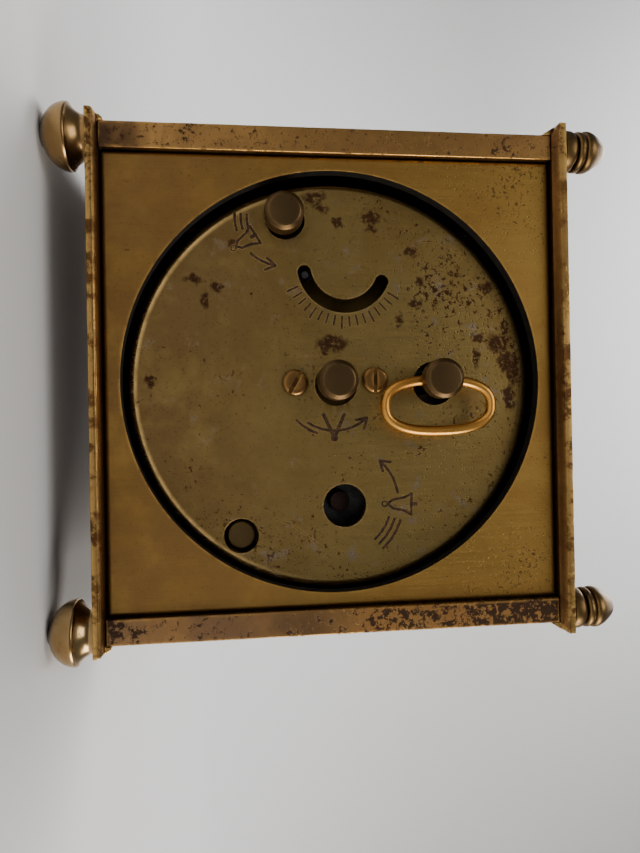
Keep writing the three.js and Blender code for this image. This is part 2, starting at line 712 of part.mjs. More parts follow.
function makeHands() {
  const minute = { bore: 0.95, hub: 1.9, length: 22, width: 1.7, tail: 4.5, angle: clockwise(48) };
  const hour = { bore: 1.65, hub: 2.5, length: 14.5, width: 2.4, tail: 4, angle: clockwise(304) };
  const alarm = { bore: 2.35, hub: 3, length: 11, width: 1.4, tail: 3.2, angle: clockwise(205) };
  addPart("minute_hand", handGeometry({ ...minute, layer: LAYER.minuteHand }), blackPaint);
  addPart("hour_hand", handGeometry({ ...hour, layer: LAYER.hourHand }), blackPaint);
  addPart("alarm_hand", handGeometry({ ...alarm, layer: LAYER.alarmHand }), darkBrass);
}

// ---------------------------------------------------------------- winding, setting and alarm
// A control knob: a stem, then a head with a chamfered rim. It turns about the Y axis.
function knobPoints(stem, low, headLow, top) {
  return [
    [0, low], [stem, low], [stem, headLow], [KNOB_RADIUS - 0.2, headLow], [KNOB_RADIUS, headLow + 0.3],
    [KNOB_RADIUS, top - 0.5], [KNOB_RADIUS - 0.5, top], [0, top],
  ];
}

const STEM_LOW = ARBOR_REAR + SEAM;
const KEY_TOP = COVER_FACE + 7.1;
const HEAD_HEIGHT = 3.3;
const RING_DEPTH = 20.6; // where the key's folding ring pivots in the stem
const RING_WIRE = 0.75;

function makeControls() {
  const knobs = [
    ["hand_set_knob", CENTRE, 1.9, COVER_FACE + 5.7],
    ["alarm_set_knob", ALARM_SET, 1.7, COVER_FACE + 4],
  ];
  for (const [name, at, stem, top] of knobs) {
    addPart(name, turned(knobPoints(stem, STEM_LOW, top - HEAD_HEIGHT, top), at, 20), darkBrass);
  }

  const key = turned(knobPoints(1.75, STEM_LOW, KEY_TOP - 3, KEY_TOP), TIME_BARREL, 20);
  const pivotHole = upright(rod(RING_WIRE + FIT, -4, 4, [0, 0], 12));
  pivotHole.translate(TIME_BARREL[0], RING_DEPTH, TIME_BARREL[1]);
  addPart("time_winding_key", cut(key, pivotHole), darkBrass);
  addPart("winding_key_ring", ringGeometry(), brightBrass);

}

function makeWindingWork() {
  const frontEnd = PLATE_FRONT + 0.2;
  const arbors = [
    ["time_winding_arbor", TIME_BARREL, ARBOR_REAR],
    ["alarm_winding_arbor", ALARM_BARREL, ARBOR_REAR + 2.2],
  ];
  for (const [name, at, end] of arbors) {
    const ratchet = slab(sawShape(16, 4.5, 5.3, 0.8, 0.8), ...LAYER.ratchets, at);
    addPart(name, join(rod(1.4, frontEnd, end, at, 16), ratchet), bareSteel);
  }
  addPart("alarm_barrel", tube(1.6, 9.4, ...LAYER.alarmBarrel, ALARM_BARREL, 24), brass);
  const [low, high] = LAYER.click;
  const noseBearing = bearing(CLICK, TIME_BARREL);
  const nose = Math.hypot(CLICK[0] - TIME_BARREL[0], CLICK[1] - TIME_BARREL[1]) - 5.5;
  const lever = barShape([0, 0], polar(nose, noseBearing), 1.6);
  const tail = barShape([0, 0], polar(4.2, noseBearing + 2.2), 1.3);
  const clickBore = rod(0.7 + FIT, low - 1, high + 1, [0, 0], 10);
  const hub = tube(0.7 + FIT, 1.5, low, high, [0, 0], 12);
  const clickBody = join(slab(lever, low, high), slab(tail, low, high), hub);
  addPart("time_click", cut(clickBody, clickBore).translate(CLICK[0], 0, CLICK[1]), bareSteel);
}

function makeAlarmStop() {
  const button = [[0, 11.2], [1, 11.2], [1, 14], [2.25, 14], [2.25, 16.3], [2, 16.6], [0, 16.6]];
  addPart("stop_button", turned(button, STOP_BUTTON, 20), brass);

  const head = [4.8, -10.9];
  addPart(
    "alarm_hammer",
    join(
      slab(barShape([-0.5, 1.1], head, 1.2), ...LAYER.hammerArms, HAMMER),
      slab(barShape([0, 0], [3.6, 1.8], 1.2), ...LAYER.hammerArms, HAMMER),
      rod(0.7, -BETWEEN_PLATES, BETWEEN_PLATES, HAMMER, 10),
      rod(1.8, -2.5, 3, [HAMMER[0] + head[0], HAMMER[1] + head[1]], 14),
    ),
    bareSteel,
  );
}

// Round wire through points in a plane with this normal. It closes on itself, or has flat ends.
function wire(points, normal, radius, sides, closed) {
  const count = points.length;
  const corners = [];
  const faces = [];
  points.forEach((here, index) => {
    const before = closed || index > 0 ? points[(index + count - 1) % count] : here;
    const after = closed || index < count - 1 ? points[(index + 1) % count] : here;
    const along = after.clone().sub(before).normalize();
    const aside = along.clone().cross(normal);
    for (let side = 0; side < sides; side++) {
      const [out, up] = polar(radius, (side * 2 * Math.PI) / sides);
      corners.push(here.clone().addScaledVector(aside, out).addScaledVector(normal, up));
      if (!closed && index === count - 1) continue;
      const a = index * sides + side;
      const b = index * sides + ((side + 1) % sides);
      const c = ((index + 1) % count) * sides + side;
      const d = ((index + 1) % count) * sides + ((side + 1) % sides);
      faces.push(a, d, b, a, c, d);
    }
  });
  const end = (count - 1) * sides;
  for (let side = 1; !closed && side < sides - 1; side++) {
    faces.push(0, side, side + 1, end, end + side + 1, end + side);
  }
  const geometry = new THREE.BufferGeometry().setFromPoints(corners);
  geometry.setIndex(faces);
  geometry.computeVertexNormals();
  return geometry;
}

// The key's folding ring: two half rounds of wire and two straight sides, one of which runs through the
// stem. It lies folded to -X.
function ringGeometry() {
  const half = 8.2;
  const corner = 3.85;
  const ends = [
    [half - corner, 180, 0],
    [corner - half, 0, -180],
  ];
  const points = [];
  for (const [z, from, to] of ends) {
    for (let step = 0; step <= 8; step++) {
      const angle = THREE.MathUtils.degToRad(from + ((to - from) * step) / 8);
      const [dx, dz] = polar(corner, angle);
      points.push(new THREE.Vector3(TIME_BARREL[0] - corner + dx, RING_DEPTH, TIME_BARREL[1] + z + dz));
    }
  }
  return wire(points, new THREE.Vector3(0, 1, 0), RING_WIRE, 8, true);
}

// ---------------------------------------------------------------- carrying handle
const HANDLE_X = 30;
const HANDLE_PIVOT_Z = TOP_SURFACE + 2.3;

function makeHandle() {
  const post = [[0, 0], [2, 0], [1.75, 0.6], [1.75, 3.2], [1.2, 3.9], [0, 4.1]];
  for (const [label, side] of [["left", -1], ["right", 1]]) {
    const body = upright(turned(post, [0, 0], 16)).translate(side * HANDLE_X, 0, TOP_SURFACE + SEAM);
    const drill = rod(0.85, -3, 3, [0, 0], 12).rotateZ(Math.PI / 2);
    drill.translate(side * HANDLE_X, 0, HANDLE_PIVOT_Z);
    addPart("handle_post_" + label, cut(body, drill), brass);
  }
  addPart("carrying_handle", handleGeometry(), brass);
}

// A bail of round bar that lies folded forward, with a pin at each end that turns in its post.
function handleGeometry() {
  const arm = HANDLE_X - 3;
  const reach = 15.5;
  const corner = 5;
  const bar = 1.15;
  const place = (x, y) => new THREE.Vector3(x, y, HANDLE_PIVOT_Z);
  const points = [place(-arm, 1)];
  for (const [side, from] of [[-1, 180], [1, 270]]) {
    for (let turn = 0; turn <= 90; turn += 18) {
      const [dx, dy] = polar(corner, THREE.MathUtils.degToRad(from + turn));
      points.push(place(side * (arm - corner) + dx, corner - reach + dy));
    }
  }
  points.push(place(arm, 1));
  const bail = wire(points, new THREE.Vector3(0, 0, 1), bar, 10, false);
  const pins = [-1, 1].map((side) => {
    const pin = rod(0.7, -2.4, 2.4, [0, 0], 12).rotateZ(Math.PI / 2);
    return pin.translate(side * (HANDLE_X - 0.6), 0, HANDLE_PIVOT_Z);
  });
  return join(bail, ...pins);
}

makePlates();
makeCorners();
makePanels();
makeFace();
makeMovementCase();
makeMovementFrame();
makeTimeTrain();
makeEscapement();
makeRegulator();
makeMotionWork();
makeHands();
makeControls();
makeWindingWork();
makeAlarmStop();
makeHandle();

// The origin is under the middle of the whole box, and the key stands out further than the front feet do.
const FRONT_REACH = CORNER_Y + 4.8;
const part = new THREE.Group();
clock.position.y = (FRONT_REACH - KEY_TOP) / 2;
part.add(clock);

export default part;
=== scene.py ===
"""The looks of a small brass carriage alarm clock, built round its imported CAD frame. Metres, +Z up."""

import json
import math
from contextlib import contextmanager

import bmesh
import bpy
from mathutils import Matrix, Vector, noise


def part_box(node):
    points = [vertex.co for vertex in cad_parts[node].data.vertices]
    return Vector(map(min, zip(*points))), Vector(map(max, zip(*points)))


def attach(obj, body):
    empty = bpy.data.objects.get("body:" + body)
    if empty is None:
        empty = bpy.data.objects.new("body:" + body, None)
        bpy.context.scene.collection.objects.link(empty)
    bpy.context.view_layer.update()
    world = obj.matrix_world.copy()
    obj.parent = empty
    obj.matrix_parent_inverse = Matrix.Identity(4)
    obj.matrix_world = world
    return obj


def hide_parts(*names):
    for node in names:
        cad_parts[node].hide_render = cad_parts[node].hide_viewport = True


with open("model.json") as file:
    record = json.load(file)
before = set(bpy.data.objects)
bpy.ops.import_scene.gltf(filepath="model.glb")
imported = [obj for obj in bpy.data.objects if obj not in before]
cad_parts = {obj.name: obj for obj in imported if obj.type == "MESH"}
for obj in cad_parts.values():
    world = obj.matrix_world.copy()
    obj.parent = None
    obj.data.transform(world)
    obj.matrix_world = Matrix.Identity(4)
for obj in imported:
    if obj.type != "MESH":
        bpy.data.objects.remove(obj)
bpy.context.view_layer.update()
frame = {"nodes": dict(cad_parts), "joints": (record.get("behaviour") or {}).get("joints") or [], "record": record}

MM = 0.001
UP = Vector((0, 0, 1))
REARWARD = Vector((0, 1, 0))
FORWARD = Vector((0, -1, 0))
CORNERS = ("rear_left", "rear_right", "front_left", "front_right")
JOINT_AT = {j["name"]: Vector(j["pos_m"]) for j in frame["joints"] if j["type"] == "hinge"}


# ---- meshes
def linked(name, data):
    """A new object in the scene."""
    made = bpy.data.objects.new(name, data)
    bpy.context.scene.collection.objects.link(made)
    return made


@contextmanager
def editing(mesh):
    """A mesh opened for editing, and written back at the end."""
    shape = bmesh.new()
    shape.from_mesh(mesh)
    yield shape
    shape.to_mesh(mesh)
    shape.free()


def mesh_object(name, verts, faces):
    mesh = bpy.data.meshes.new(name)
    mesh.from_pydata([tuple(v) for v in verts], [], faces)
    with editing(mesh) as shape:
        bmesh.ops.recalc_face_normals(shape, faces=shape.faces)
    return linked(name, mesh)


def modify(made, kind, **settings):
    change = made.modifiers.new(kind.lower(), kind)
    for key, value in settings.items():
        setattr(change, key, value)


def apply_modifiers(made):
    """Replaces an object's mesh by what its modifiers make of it."""
    graph = bpy.context.evaluated_depsgraph_get()
    mesh = bpy.data.meshes.new_from_object(made.evaluated_get(graph))
    made.modifiers.clear()
    made.data = mesh


def combine(made, other, operation, own_overlaps=False):
    """Adds another piece to this one or cuts it out, with the material of each kept. The other is used up."""
    modify(made, "BOOLEAN", operation=operation, solver="EXACT", use_self=own_overlaps,
           material_mode="TRANSFER", object=other)
    apply_modifiers(made)
    bpy.data.objects.remove(other)


def paint(made, finish):
    """Gives a piece the material of that name, unless it has one already."""
    if not made.data.materials:
        made.data.materials.append(MATERIALS[finish])


def carve(made, cutters, finish, own_overlaps=False):
    """Cuts the cutters out of a piece, once each has a finish."""
    for one in (made, *cutters):
        paint(one, finish)
    for cutter in cutters:
        combine(made, cutter, "DIFFERENCE", own_overlaps)


def bevel(made, width, steps, angle):
    modify(made, "BEVEL", width=width, segments=steps, limit_method="ANGLE", angle_limit=math.radians(angle))


def soften(made, width, steps=3, angle=30):
    """Rounds every edge sharper than the angle."""
    bevel(made, width, steps, angle)
    apply_modifiers(made)


def rounded(points, steps=4):
    """A line through (a, b, radius) corners, with each corner turned into a short curve of that reach."""
    line = []
    for index, (a, b, radius) in enumerate(points):
        here = Vector((a, b))
        if radius == 0 or index in (0, len(points) - 1):
            line.append(here)
            continue
        before = Vector(points[index - 1][:2]) - here
        after = Vector(points[index + 1][:2]) - here
        start = here + before.normalized() * min(radius, 0.49 * before.length)
        end = here + after.normalized() * min(radius, 0.49 * after.length)
        for step in range(steps + 1):
            t = step / steps
            line.append(start * (1 - t) ** 2 + here * 2 * t * (1 - t) + end * t**2)
    return line


def turned(name, points, centre, axis, segments=96):
    """A solid of revolution. points are (radius, height, corner radius) in millimetres along the axis."""
    turn = axis.to_track_quat("Z", "Y")
    verts = []
    rings = []
    for radius, height in rounded(points):
        if radius < 1e-6:
            rings.append([len(verts)])
            verts.append(centre + turn @ UP * height * MM)
            continue
        ring = []
        for step in range(segments):
            angle = step * 2 * math.pi / segments
            ring.append(len(verts))
            across = Vector((math.cos(angle), math.sin(angle), 0)) * radius
            verts.append(centre + turn @ (across + UP * height) * MM)
        rings.append(ring)
    faces = []
    for low, high in zip(rings, rings[1:]):
        count = max(len(low), len(high))
        for step in range(count):
            following = (step + 1) % count
            if len(low) == 1:
                faces.append((low[0], high[step], high[following]))
            elif len(high) == 1:
                faces.append((low[step], low[following], high[0]))
            else:
                faces.append((low[step], low[following], high[following], high[step]))
    return mesh_object(name, verts, faces)


def prism(name, outline, low, high):
    """An X-Z outline given thickness along Y, all in metres."""
    count = len(outline)
    verts = [Vector((x, low, z)) for x, z in outline] + [Vector((x, high, z)) for x, z in outline]
    faces = [tuple(range(count)), tuple(range(2 * count - 1, count - 1, -1))]
    for step in range(count):
        following = (step + 1) % count
        faces.append((step, following, count + following, count + step))
    return mesh_object(name, verts, faces)


def on_circle(centre, radius, degrees):
    """A place on an X-Z circle. Bearings run from +X towards +Z."""
    angle = math.radians(degrees)
    return centre[0] + radius * math.cos(angle), centre[1] + radius * math.sin(angle)


def arc(centre, radius, start, end, steps):
    """Places along an arc between two bearings, both included."""
    return [on_circle(centre, radius, start + (end - start) * i / steps) for i in range(steps + 1)]


def circle(centre, radius, segments=64):
    return arc(centre, radius, 0, 360, segments)[:-1]


def wire_loop(name, path, radius, sides=20):
    """Round wire along a closed line of points."""
    verts = []
    faces = []
    count = len(path)
    normal = None
    for index, here in enumerate(path):
        before = path[(index - 1) % count]
        after = path[(index + 1) % count]
        along = (after - before).normalized()
        if normal is None:
            normal = along.orthogonal().normalized()
        normal = (normal - along * normal.dot(along)).normalized()
        aside = along.cross(normal)
        for side in range(sides):
            angle = side * 2 * math.pi / sides
            verts.append(here + (normal * math.cos(angle) + aside * math.sin(angle)) * radius)
    for index in range(count):
        following = (index + 1) % count
        for side in range(sides):
            neighbour = (side + 1) % sides
            faces.append((index * sides + side, index * sides + neighbour,
                          following * sides + neighbour, following * sides + side))
    return mesh_object(name, verts, faces)


def joined(name, parts):
    """One mesh object out of several."""
    shape = bmesh.new()
    for part in parts:
        shape.from_mesh(part.data)
        bpy.data.objects.remove(part)
    mesh = bpy.data.meshes.new(name)
    shape.to_mesh(mesh)
    shape.free()
    return linked(name, mesh)


def refined(node, width, steps=3, dents=0.0):
    """A finer copy of a flat-sided CAD piece: rounded edges, and small dents along them."""
    made = linked("fine_" + node, frame["nodes"][node].data.copy())
    made.data.materials.clear()
    with editing(made.data) as shape:
        bmesh.ops.remove_doubles(shape, verts=shape.verts, dist=1e-6)
        bmesh.ops.dissolve_limit(shape, angle_limit=math.radians(1), verts=shape.verts, edges=shape.edges)
    soften(made, width, steps, angle=18)
    if dents:
        dent_edges(made, dents)
    return made


def dent_edges(made, depth, pitch=1.2 * MM):
    """Splits long edges, then presses points in by a smooth noise."""
    halvings = 7
    sharp_angle = 0.15
    with editing(made.data) as shape:
        for _ in range(halvings):
            long_edges = [e for e in shape.edges if e.calc_length() > 2 * pitch]
            if not long_edges:
                break
            bmesh.ops.subdivide_edges(shape, edges=long_edges, cuts=1)
            bmesh.ops.triangulate(shape, faces=[f for f in shape.faces if len(f.verts) > 4])
        shape.normal_update()
        for vert in shape.verts:
            sides = [e for e in vert.link_edges if len(e.link_faces) == 2]
            if not any(e.calc_face_angle() > sharp_angle for e in sides):
                continue
            strength = max(0.0, noise.noise(vert.co / (2.2 * MM)) + 0.1)
            strength += 0.4 * abs(noise.noise(vert.co / (0.7 * MM)))
            vert.co -= vert.normal * depth * strength


def install(made, finish, body, slot, *nodes, weighted=True):
    """Gives a piece its finish and its body, and hides the CAD nodes that it stands for."""
    paint(made, finish)
    for face in made.data.polygons:
        face.use_smooth = True
    made.data.set_sharp_from_angle(angle=math.radians(50))
    if weighted:
        modify(made, "WEIGHTED_NORMAL", keep_sharp=True, weight=100)
    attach(made, body)
    if nodes:
        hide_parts(*nodes)


# ---- places taken from the frame
def middle(node):
    low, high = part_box(node)
    return (low + high) / 2


def extent(node):
    """A node's size along X, Y and Z, in millimetres."""
    return [(high - low) / MM for low, high in zip(*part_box(node))]


def underside(node):
    """The middle of a node's underside."""
    low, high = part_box(node)
    return Vector(((low.x + high.x) / 2, (low.y + high.y) / 2, low.z))


def rear_face(node):
    """The middle of a node's rear face."""
    low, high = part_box(node)
    return Vector(((low.x + high.x) / 2, high.y, (low.z + high.z) / 2))


def front_face(node):
    """Where the axis of the hands passes a node's front face."""
    x, z = ARBOR["centre"]
    return Vector((x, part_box(node)[0].y, z))


def flat(place):
    """A place's X and Z."""
    return place.x, place.z


ARBOR = {
    "centre": flat(JOINT_AT["hand_set_turn"]),
    "key": flat(JOINT_AT["winding_key_turn"]),
    "alarm_key": flat(JOINT_AT["alarm_winding_turn"]),
    "alarm_set": flat(JOINT_AT["alarm_set_turn"]),
    "regulator": flat(JOINT_AT["regulator_turn"]),
    "stop": flat(middle("stop_button")),
}
COVER_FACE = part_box("rear_cover")[1].y
COVER_CENTRE = flat(middle("rear_cover"))
COVER_RADIUS = extent("rear_cover")[0] / 2 * MM

# How far the holes round the knobs and the alarm arbor lie off their centres, along X and Z.
HOLE_SHIFT = (-0.3 * MM, 0.3 * MM)


# ---- materials
class Graph:
    """A material's node tree. Coordinates are the object's own, in millimetres."""

    def __init__(self, name):
        self.material = bpy.data.materials.new(name)
        self.material.use_nodes = True
        self.tree = self.material.node_tree
        self.shader = self.tree.nodes["Principled BSDF"]
        place = self.add("ShaderNodeTexCoord")
        self.place = self.add("ShaderNodeVectorMath", {"operation": "SCALE"},
                              {0: place.outputs["Object"], "Scale": 1 / MM}).outputs[0]

    def add(self, kind, settings=None, inputs=None):
        made = self.tree.nodes.new(kind)
        for key, value in (settings or {}).items():
            setattr(made, key, value)
        for key, value in (inputs or {}).items():
            self.plug(made.inputs[key], value)
        return made

    def plug(self, socket, value):
        if isinstance(value, bpy.types.NodeSocket):
            self.tree.links.new(value, socket)
        else:
            socket.default_value = value

    def set(self, **inputs):
        for key, value in inputs.items():
            self.plug(self.shader.inputs[key.replace("_", " ")], value)

    def math(self, operation, *inputs):
        return self.add("ShaderNodeMath", {"operation": operation}, dict(enumerate(inputs))).outputs[0]

    def times(self, a, b):
        return self.math("MULTIPLY", a, b)

    def plus(self, a, b):
        return self.math("ADD", a, b)

    def most(self, a, b):
        return self.math("MAXIMUM", a, b)

    def vector(self, operation, *inputs):
        """What an operation makes of vectors. LENGTH gives a number."""
        made = self.add("ShaderNodeVectorMath", {"operation": operation}, dict(enumerate(inputs)))
        return made.outputs["Value" if operation == "LENGTH" else "Vector"]

    def along(self, axis):
        """How far along an axis the place is, in millimetres."""
        return self.add("ShaderNodeSeparateXYZ", None, {0: self.place}).outputs[axis]

    def level(self, value, low, high, out_low=0.0, out_high=1.0):
        """Smoothly takes low..high to out_low..out_high, and holds it there outside."""
        return self.add(
            "ShaderNodeMapRange",
            {"interpolation_type": "SMOOTHSTEP", "clamp": True},
            {"Value": value, "From Min": low, "From Max": high, "To Min": out_low, "To Max": out_high},
        ).outputs["Result"]

    def stretched(self, x, y, z):
        return self.vector("MULTIPLY", self.place, (x, y, z))

    def noise(self, scale, detail=3.0, roughness=0.55, place=None, distortion=0.0):
        inputs = {"Vector": place or self.place, "Scale": scale, "Detail": detail,
                  "Roughness": roughness, "Distortion": distortion}
        return self.add("ShaderNodeTexNoise", None, inputs).outputs["Fac"]

    def dots(self, scale, size, share):
        """Small round dots, on a share of the cells of a random pattern."""
        cells = self.add("ShaderNodeTexVoronoi", None, {"Vector": self.place, "Scale": scale})
        near = self.level(cells.outputs["Distance"], size, size * 0.45)
        chance = self.add("ShaderNodeSeparateColor", None, {"Color": cells.outputs["Color"]}).outputs[0]
        return self.times(near, self.level(chance, 1 - share - 0.02, 1 - share + 0.02))

    def mix(self, share, a, b):
        made = self.add("ShaderNodeMix", {"data_type": "RGBA"})
        self.plug(made.inputs["Factor"], share)
        self.plug(made.inputs[6], a)
        self.plug(made.inputs[7], b)
        return made.outputs[2]

    def hollows(self, reach):
        """Painted shade: 1 deep in corners and against neighbouring parts, where shade falls, 0 in the open."""
        made = self.add("ShaderNodeAmbientOcclusion", {"samples": 5}, {"Distance": reach})
        return self.level(made.outputs["AO"], 0.85, 0.35)

    def edges(self, reach):
        """1 on outer edges, 0 on flats."""
        made = self.add("ShaderNodeAmbientOcclusion", {"samples": 5, "inside": True, "only_local": True},
                        {"Distance": reach})
        return self.level(made.outputs["AO"], 0.9, 0.6)

    def bump(self, height, depth):
        """depth is how far a height of 1 stands up, in millimetres."""
        made = self.add("ShaderNodeBump", None, {"Height": height, "Distance": depth * MM})
        self.plug(made.inputs["Strength"], 1.0)
        self.set(Normal=made.outputs["Normal"])


def rgb(red, green, blue):
    """A linear colour from 0..255 display values."""
    def linear(value):
        value /= 255
        return value / 12.92 if value <= 0.04045 else ((value + 0.055) / 1.055) ** 2.4
    return (linear(red), linear(green), linear(blue), 1.0)


def spot_mask(g, spots):
    """Soft ragged patches at (x, z, half width along x, half width along z) places in millimetres."""
    wander = 1.3
    wobble = g.add("ShaderNodeTexNoise", None, {"Vector": g.place, "Scale": 0.9, "Detail": 4.0})
    shifted = g.vector("MULTIPLY_ADD", wobble.outputs["Color"], (2 * wander,) * 3, g.place)
    total = 0.0
    for x, z, half_x, half_z in spots:
        away = g.vector("SUBTRACT", shifted, (x + wander, 0, z + wander))
        length = g.vector("LENGTH", g.vector("MULTIPLY", away, (1 / half_x, 0, 1 / half_z)))
        total = g.most(total, g.level(length, 1.15, 0.55))
    return total


def tarnished(g, tone, colour, heights):
    """A tone that turns darker towards the bottom, to the given colour, from the first of the heights to the
    second.
    """
    share = g.level(g.along("Z"), *heights)
    share = g.times(share, g.level(g.noise(0.15, 4.0, 0.6), 0.3, 0.6, 0.45, 0.95))
    return g.mix(share, tone, colour)


def blotch_masks(g, amount, scale, dense, spots):
    """Where the blotches and the spots are, and a fainter halo round the blotches."""
    if not amount:
        return 0.0, 0.0
    clusters = g.times(g.noise(0.11, 3.0, 0.6), 0.34)
    clusters = g.plus(clusters, g.times(dense, 0.09))
    patch = g.plus(g.noise(scale, 6.0, 0.72, distortion=0.3), clusters)
    spread = 0.12 * amount
    blotch = g.level(patch, 0.92 - spread, 0.98 - spread)
    halo = g.level(patch, 0.9 - spread, 0.97 - spread, 0.0, 0.35)
    if spots:
        broken = g.level(g.noise(1.3, 5.0, 0.7), 0.3, 0.5)
        blotch = g.most(blotch, g.times(spot_mask(g, spots), broken))
    return blotch, halo


def pit_mask(g, amount, dense):
    """Small pits of two sizes."""
    pit = g.most(g.dots(1.7, 0.26, amount), g.dots(0.75, 0.17, 0.5 * amount))
    return g.times(pit, g.level(dense, 0.0, 0.8, 0.35, 1.0))


def bloom_mask(g, dense):
    """Pale clouds, stronger where the marks are denser."""
    cloud = g.level(g.noise(0.33, 5.0, 0.7), 0.57, 0.7)
    return g.times(cloud, g.level(dense, 0.0, 1.0, 0.35, 0.8))


def rub_mask(g, wear, worn_width, painted_highlight):
    """Where the metal is brightened: broken lines of wear along the edges, and a painted highlight where one is
    given.
    """
    brightened = g.times(g.edges(worn_width * MM), g.level(g.noise(0.4, 5.0, 0.7), 0.4, 0.52))
    brightened = g.times(brightened, wear)
    return g.most(brightened, painted_highlight(g)) if painted_highlight else brightened


def aged_brass(name, light, dark, stain, roughness=(0.34, 0.5), blotches=0.5, blotch_scale=0.8, pits=0.25,
               wear=0.6, worn_width=0.5, bright=(206, 158, 84), hollow_shade=0.7, brush=None, spots=(),
               grain=0.012, region=None, low_tone=None, low_tone_heights=(45, 15), bloom=None, painted_highlight=None):
    """Aged brass: mottled tone, stains, pits, brushing, painted shade in corners, bright worn edges and any
    painted highlight.

    blotches, pits and wear run from 0 for none, and region says where the marks are denser, as 0..1. Spots
    are large stains, each with its own place. Below the first of the given heights the colour turns darker towards
    the bottom, growing towards the second, bloom is a pale residue round the stains, and the highlight argument
    says where a highlight is painted into the colour.
    """
    g = Graph(name)
    light, dark, stain, bright = (rgb(*colour) for colour in (light, dark, stain, bright))
    dense = region(g) if region else 0.5
    blotch, halo = blotch_masks(g, blotches, blotch_scale, dense, spots)
    pit = pit_mask(g, pits, dense)

    mottle = g.noise(0.085, 5.0, 0.62, distortion=0.6)
    tone = g.mix(g.level(mottle, 0.28, 0.72), dark, light)
    tone = g.mix(g.level(g.noise(0.7, 5.0, 0.65), 0.35, 0.85, 0.0, 0.4), tone, dark)
    # The colour darkens towards the bottom of the clock.
    if low_tone:
        tone = tarnished(g, tone, rgb(*low_tone), low_tone_heights)
    tone = g.mix(halo, tone, stain)
    if bloom:
        tone = g.mix(bloom_mask(g, dense), tone, rgb(*bloom))
    tone = g.mix(g.times(blotch, 0.93), tone, stain)
    tone = g.mix(g.times(pit, 0.7), tone, stain)
    # Painted shade: a quarter of the stain colour, laid in corners and against neighbouring parts, where shade
    # falls.
    painted_shade = (*(part * 0.25 for part in stain[:3]), 1.0)
    tone = g.mix(g.times(g.hollows(1.1 * MM), hollow_shade), tone, painted_shade)

    rough = g.level(mottle, 0.35, 0.7, roughness[1], roughness[0])
    rough = g.plus(rough, g.times(blotch, 0.16))
    height = g.times(g.noise(3.2, 3.0, 0.6), 0.5)
    if brush:
        lines = g.noise(1.0, 3.0, 0.6, place=g.stretched(*brush))
        height = g.plus(height, lines)
        rough = g.plus(rough, g.level(lines, 0.3, 0.7, -0.05, 0.05))
    height = g.math("SUBTRACT", height, g.times(g.most(pit, blotch), 1.6))
    if wear:
        # Bright worn edges, and a painted highlight where one is given.
        brightened = rub_mask(g, wear, worn_width, painted_highlight)
        tone = g.mix(brightened, tone, bright)
        rough = g.math("SUBTRACT", rough, g.times(brightened, 0.12))
    g.set(Base_Color=tone, Roughness=rough, Metallic=g.level(blotch, 0.0, 1.0, 1.0, 0.85))
    g.bump(height, grain)
    return g.material


def denser_at_top(g):
    """More marks towards the top of the clock and along the low rim on its left side."""
    up = g.level(g.along("Z"), 34.0, 70.0, 0.15, 1.0)
    low_rim = g.level(g.along("X"), -14.0, -27.0, 0.0, 0.85)
    return g.most(up, low_rim)


RIM_ROLL = 1.7


def rolled_rim(g):
    """Painted highlight on the cover's rolled rim, strongest towards the feet."""
    away = g.vector("SUBTRACT", g.place, (COVER_CENTRE[0] / MM, 0, COVER_CENTRE[1] / MM))
    distance = g.vector("LENGTH", g.vector("MULTIPLY", away, (1, 0, 1)))
    rim = g.level(distance, COVER_RADIUS / MM - RIM_ROLL, COVER_RADIUS / MM - 1.0)
    low = g.level(g.along("Z"), 46.0, 24.0, 0.1, 0.9)
    uneven = g.level(g.noise(0.5, 4.0, 0.6), 0.3, 0.6, 0.5, 1.0)
    return g.times(g.times(rim, low), uneven)


def panel_corners(g):
    """More marks in the upper corners of the panels."""
    high = g.level(g.along("Z"), 50.0, 70.0)
    aside = g.level(g.math("ABSOLUTE", g.along("X")), 16.0, 28.0)
    return g.times(high, aside)


def near_ends(g):
    """More marks on the upper third of a pillar, and at its foot."""
    top = g.level(g.along("Z"), 40.0, 62.0)
    foot = g.level(g.along("Z"), 15.0, 9.0)
    return g.most(top, foot)


# The large stains on the cover: X, Z, half width and half height in millimetres, read off the photograph.
COVER_STAINS = [
    (5.9, 41.9, 1.6, 2.9), (4.9, 40.8, 1.0, 1.2),
    (28.3, 39.6, 1.3, 2.0), (26.6, 40.6, 1.0, 1.2), (24.7, 43.0, 0.9, 1.0), (25.3, 48.1, 1.6, 1.5),
    (23.5, 48.2, 0.7, 1.3), (20.2, 54.6, 0.9, 1.2),
    (6.6, 65.2, 1.0, 1.4), (5.9, 68.3, 1.7, 2.4), (8.2, 69.2, 1.2, 1.0), (3.4, 64.4, 1.9, 0.8),
    (1.2, 70.6, 2.6, 1.2), (-2.6, 69.9, 2.2, 1.3), (3.0, 69.3, 2.2, 1.6),
    (15.6, 21.2, 0.9, 1.6), (12.6, 22.8, 1.4, 0.9), (14.4, 24.4, 1.0, 1.0), (21.0, 27.2, 0.9, 0.9),
    (15.4, 55.9, 0.9, 1.1), (12.2, 54.9, 0.9, 1.0), (9.6, 52.4, 1.3, 0.9), (14.6, 66.4, 1.1, 1.4),
    (0.6, 14.5, 1.0, 1.0),
]

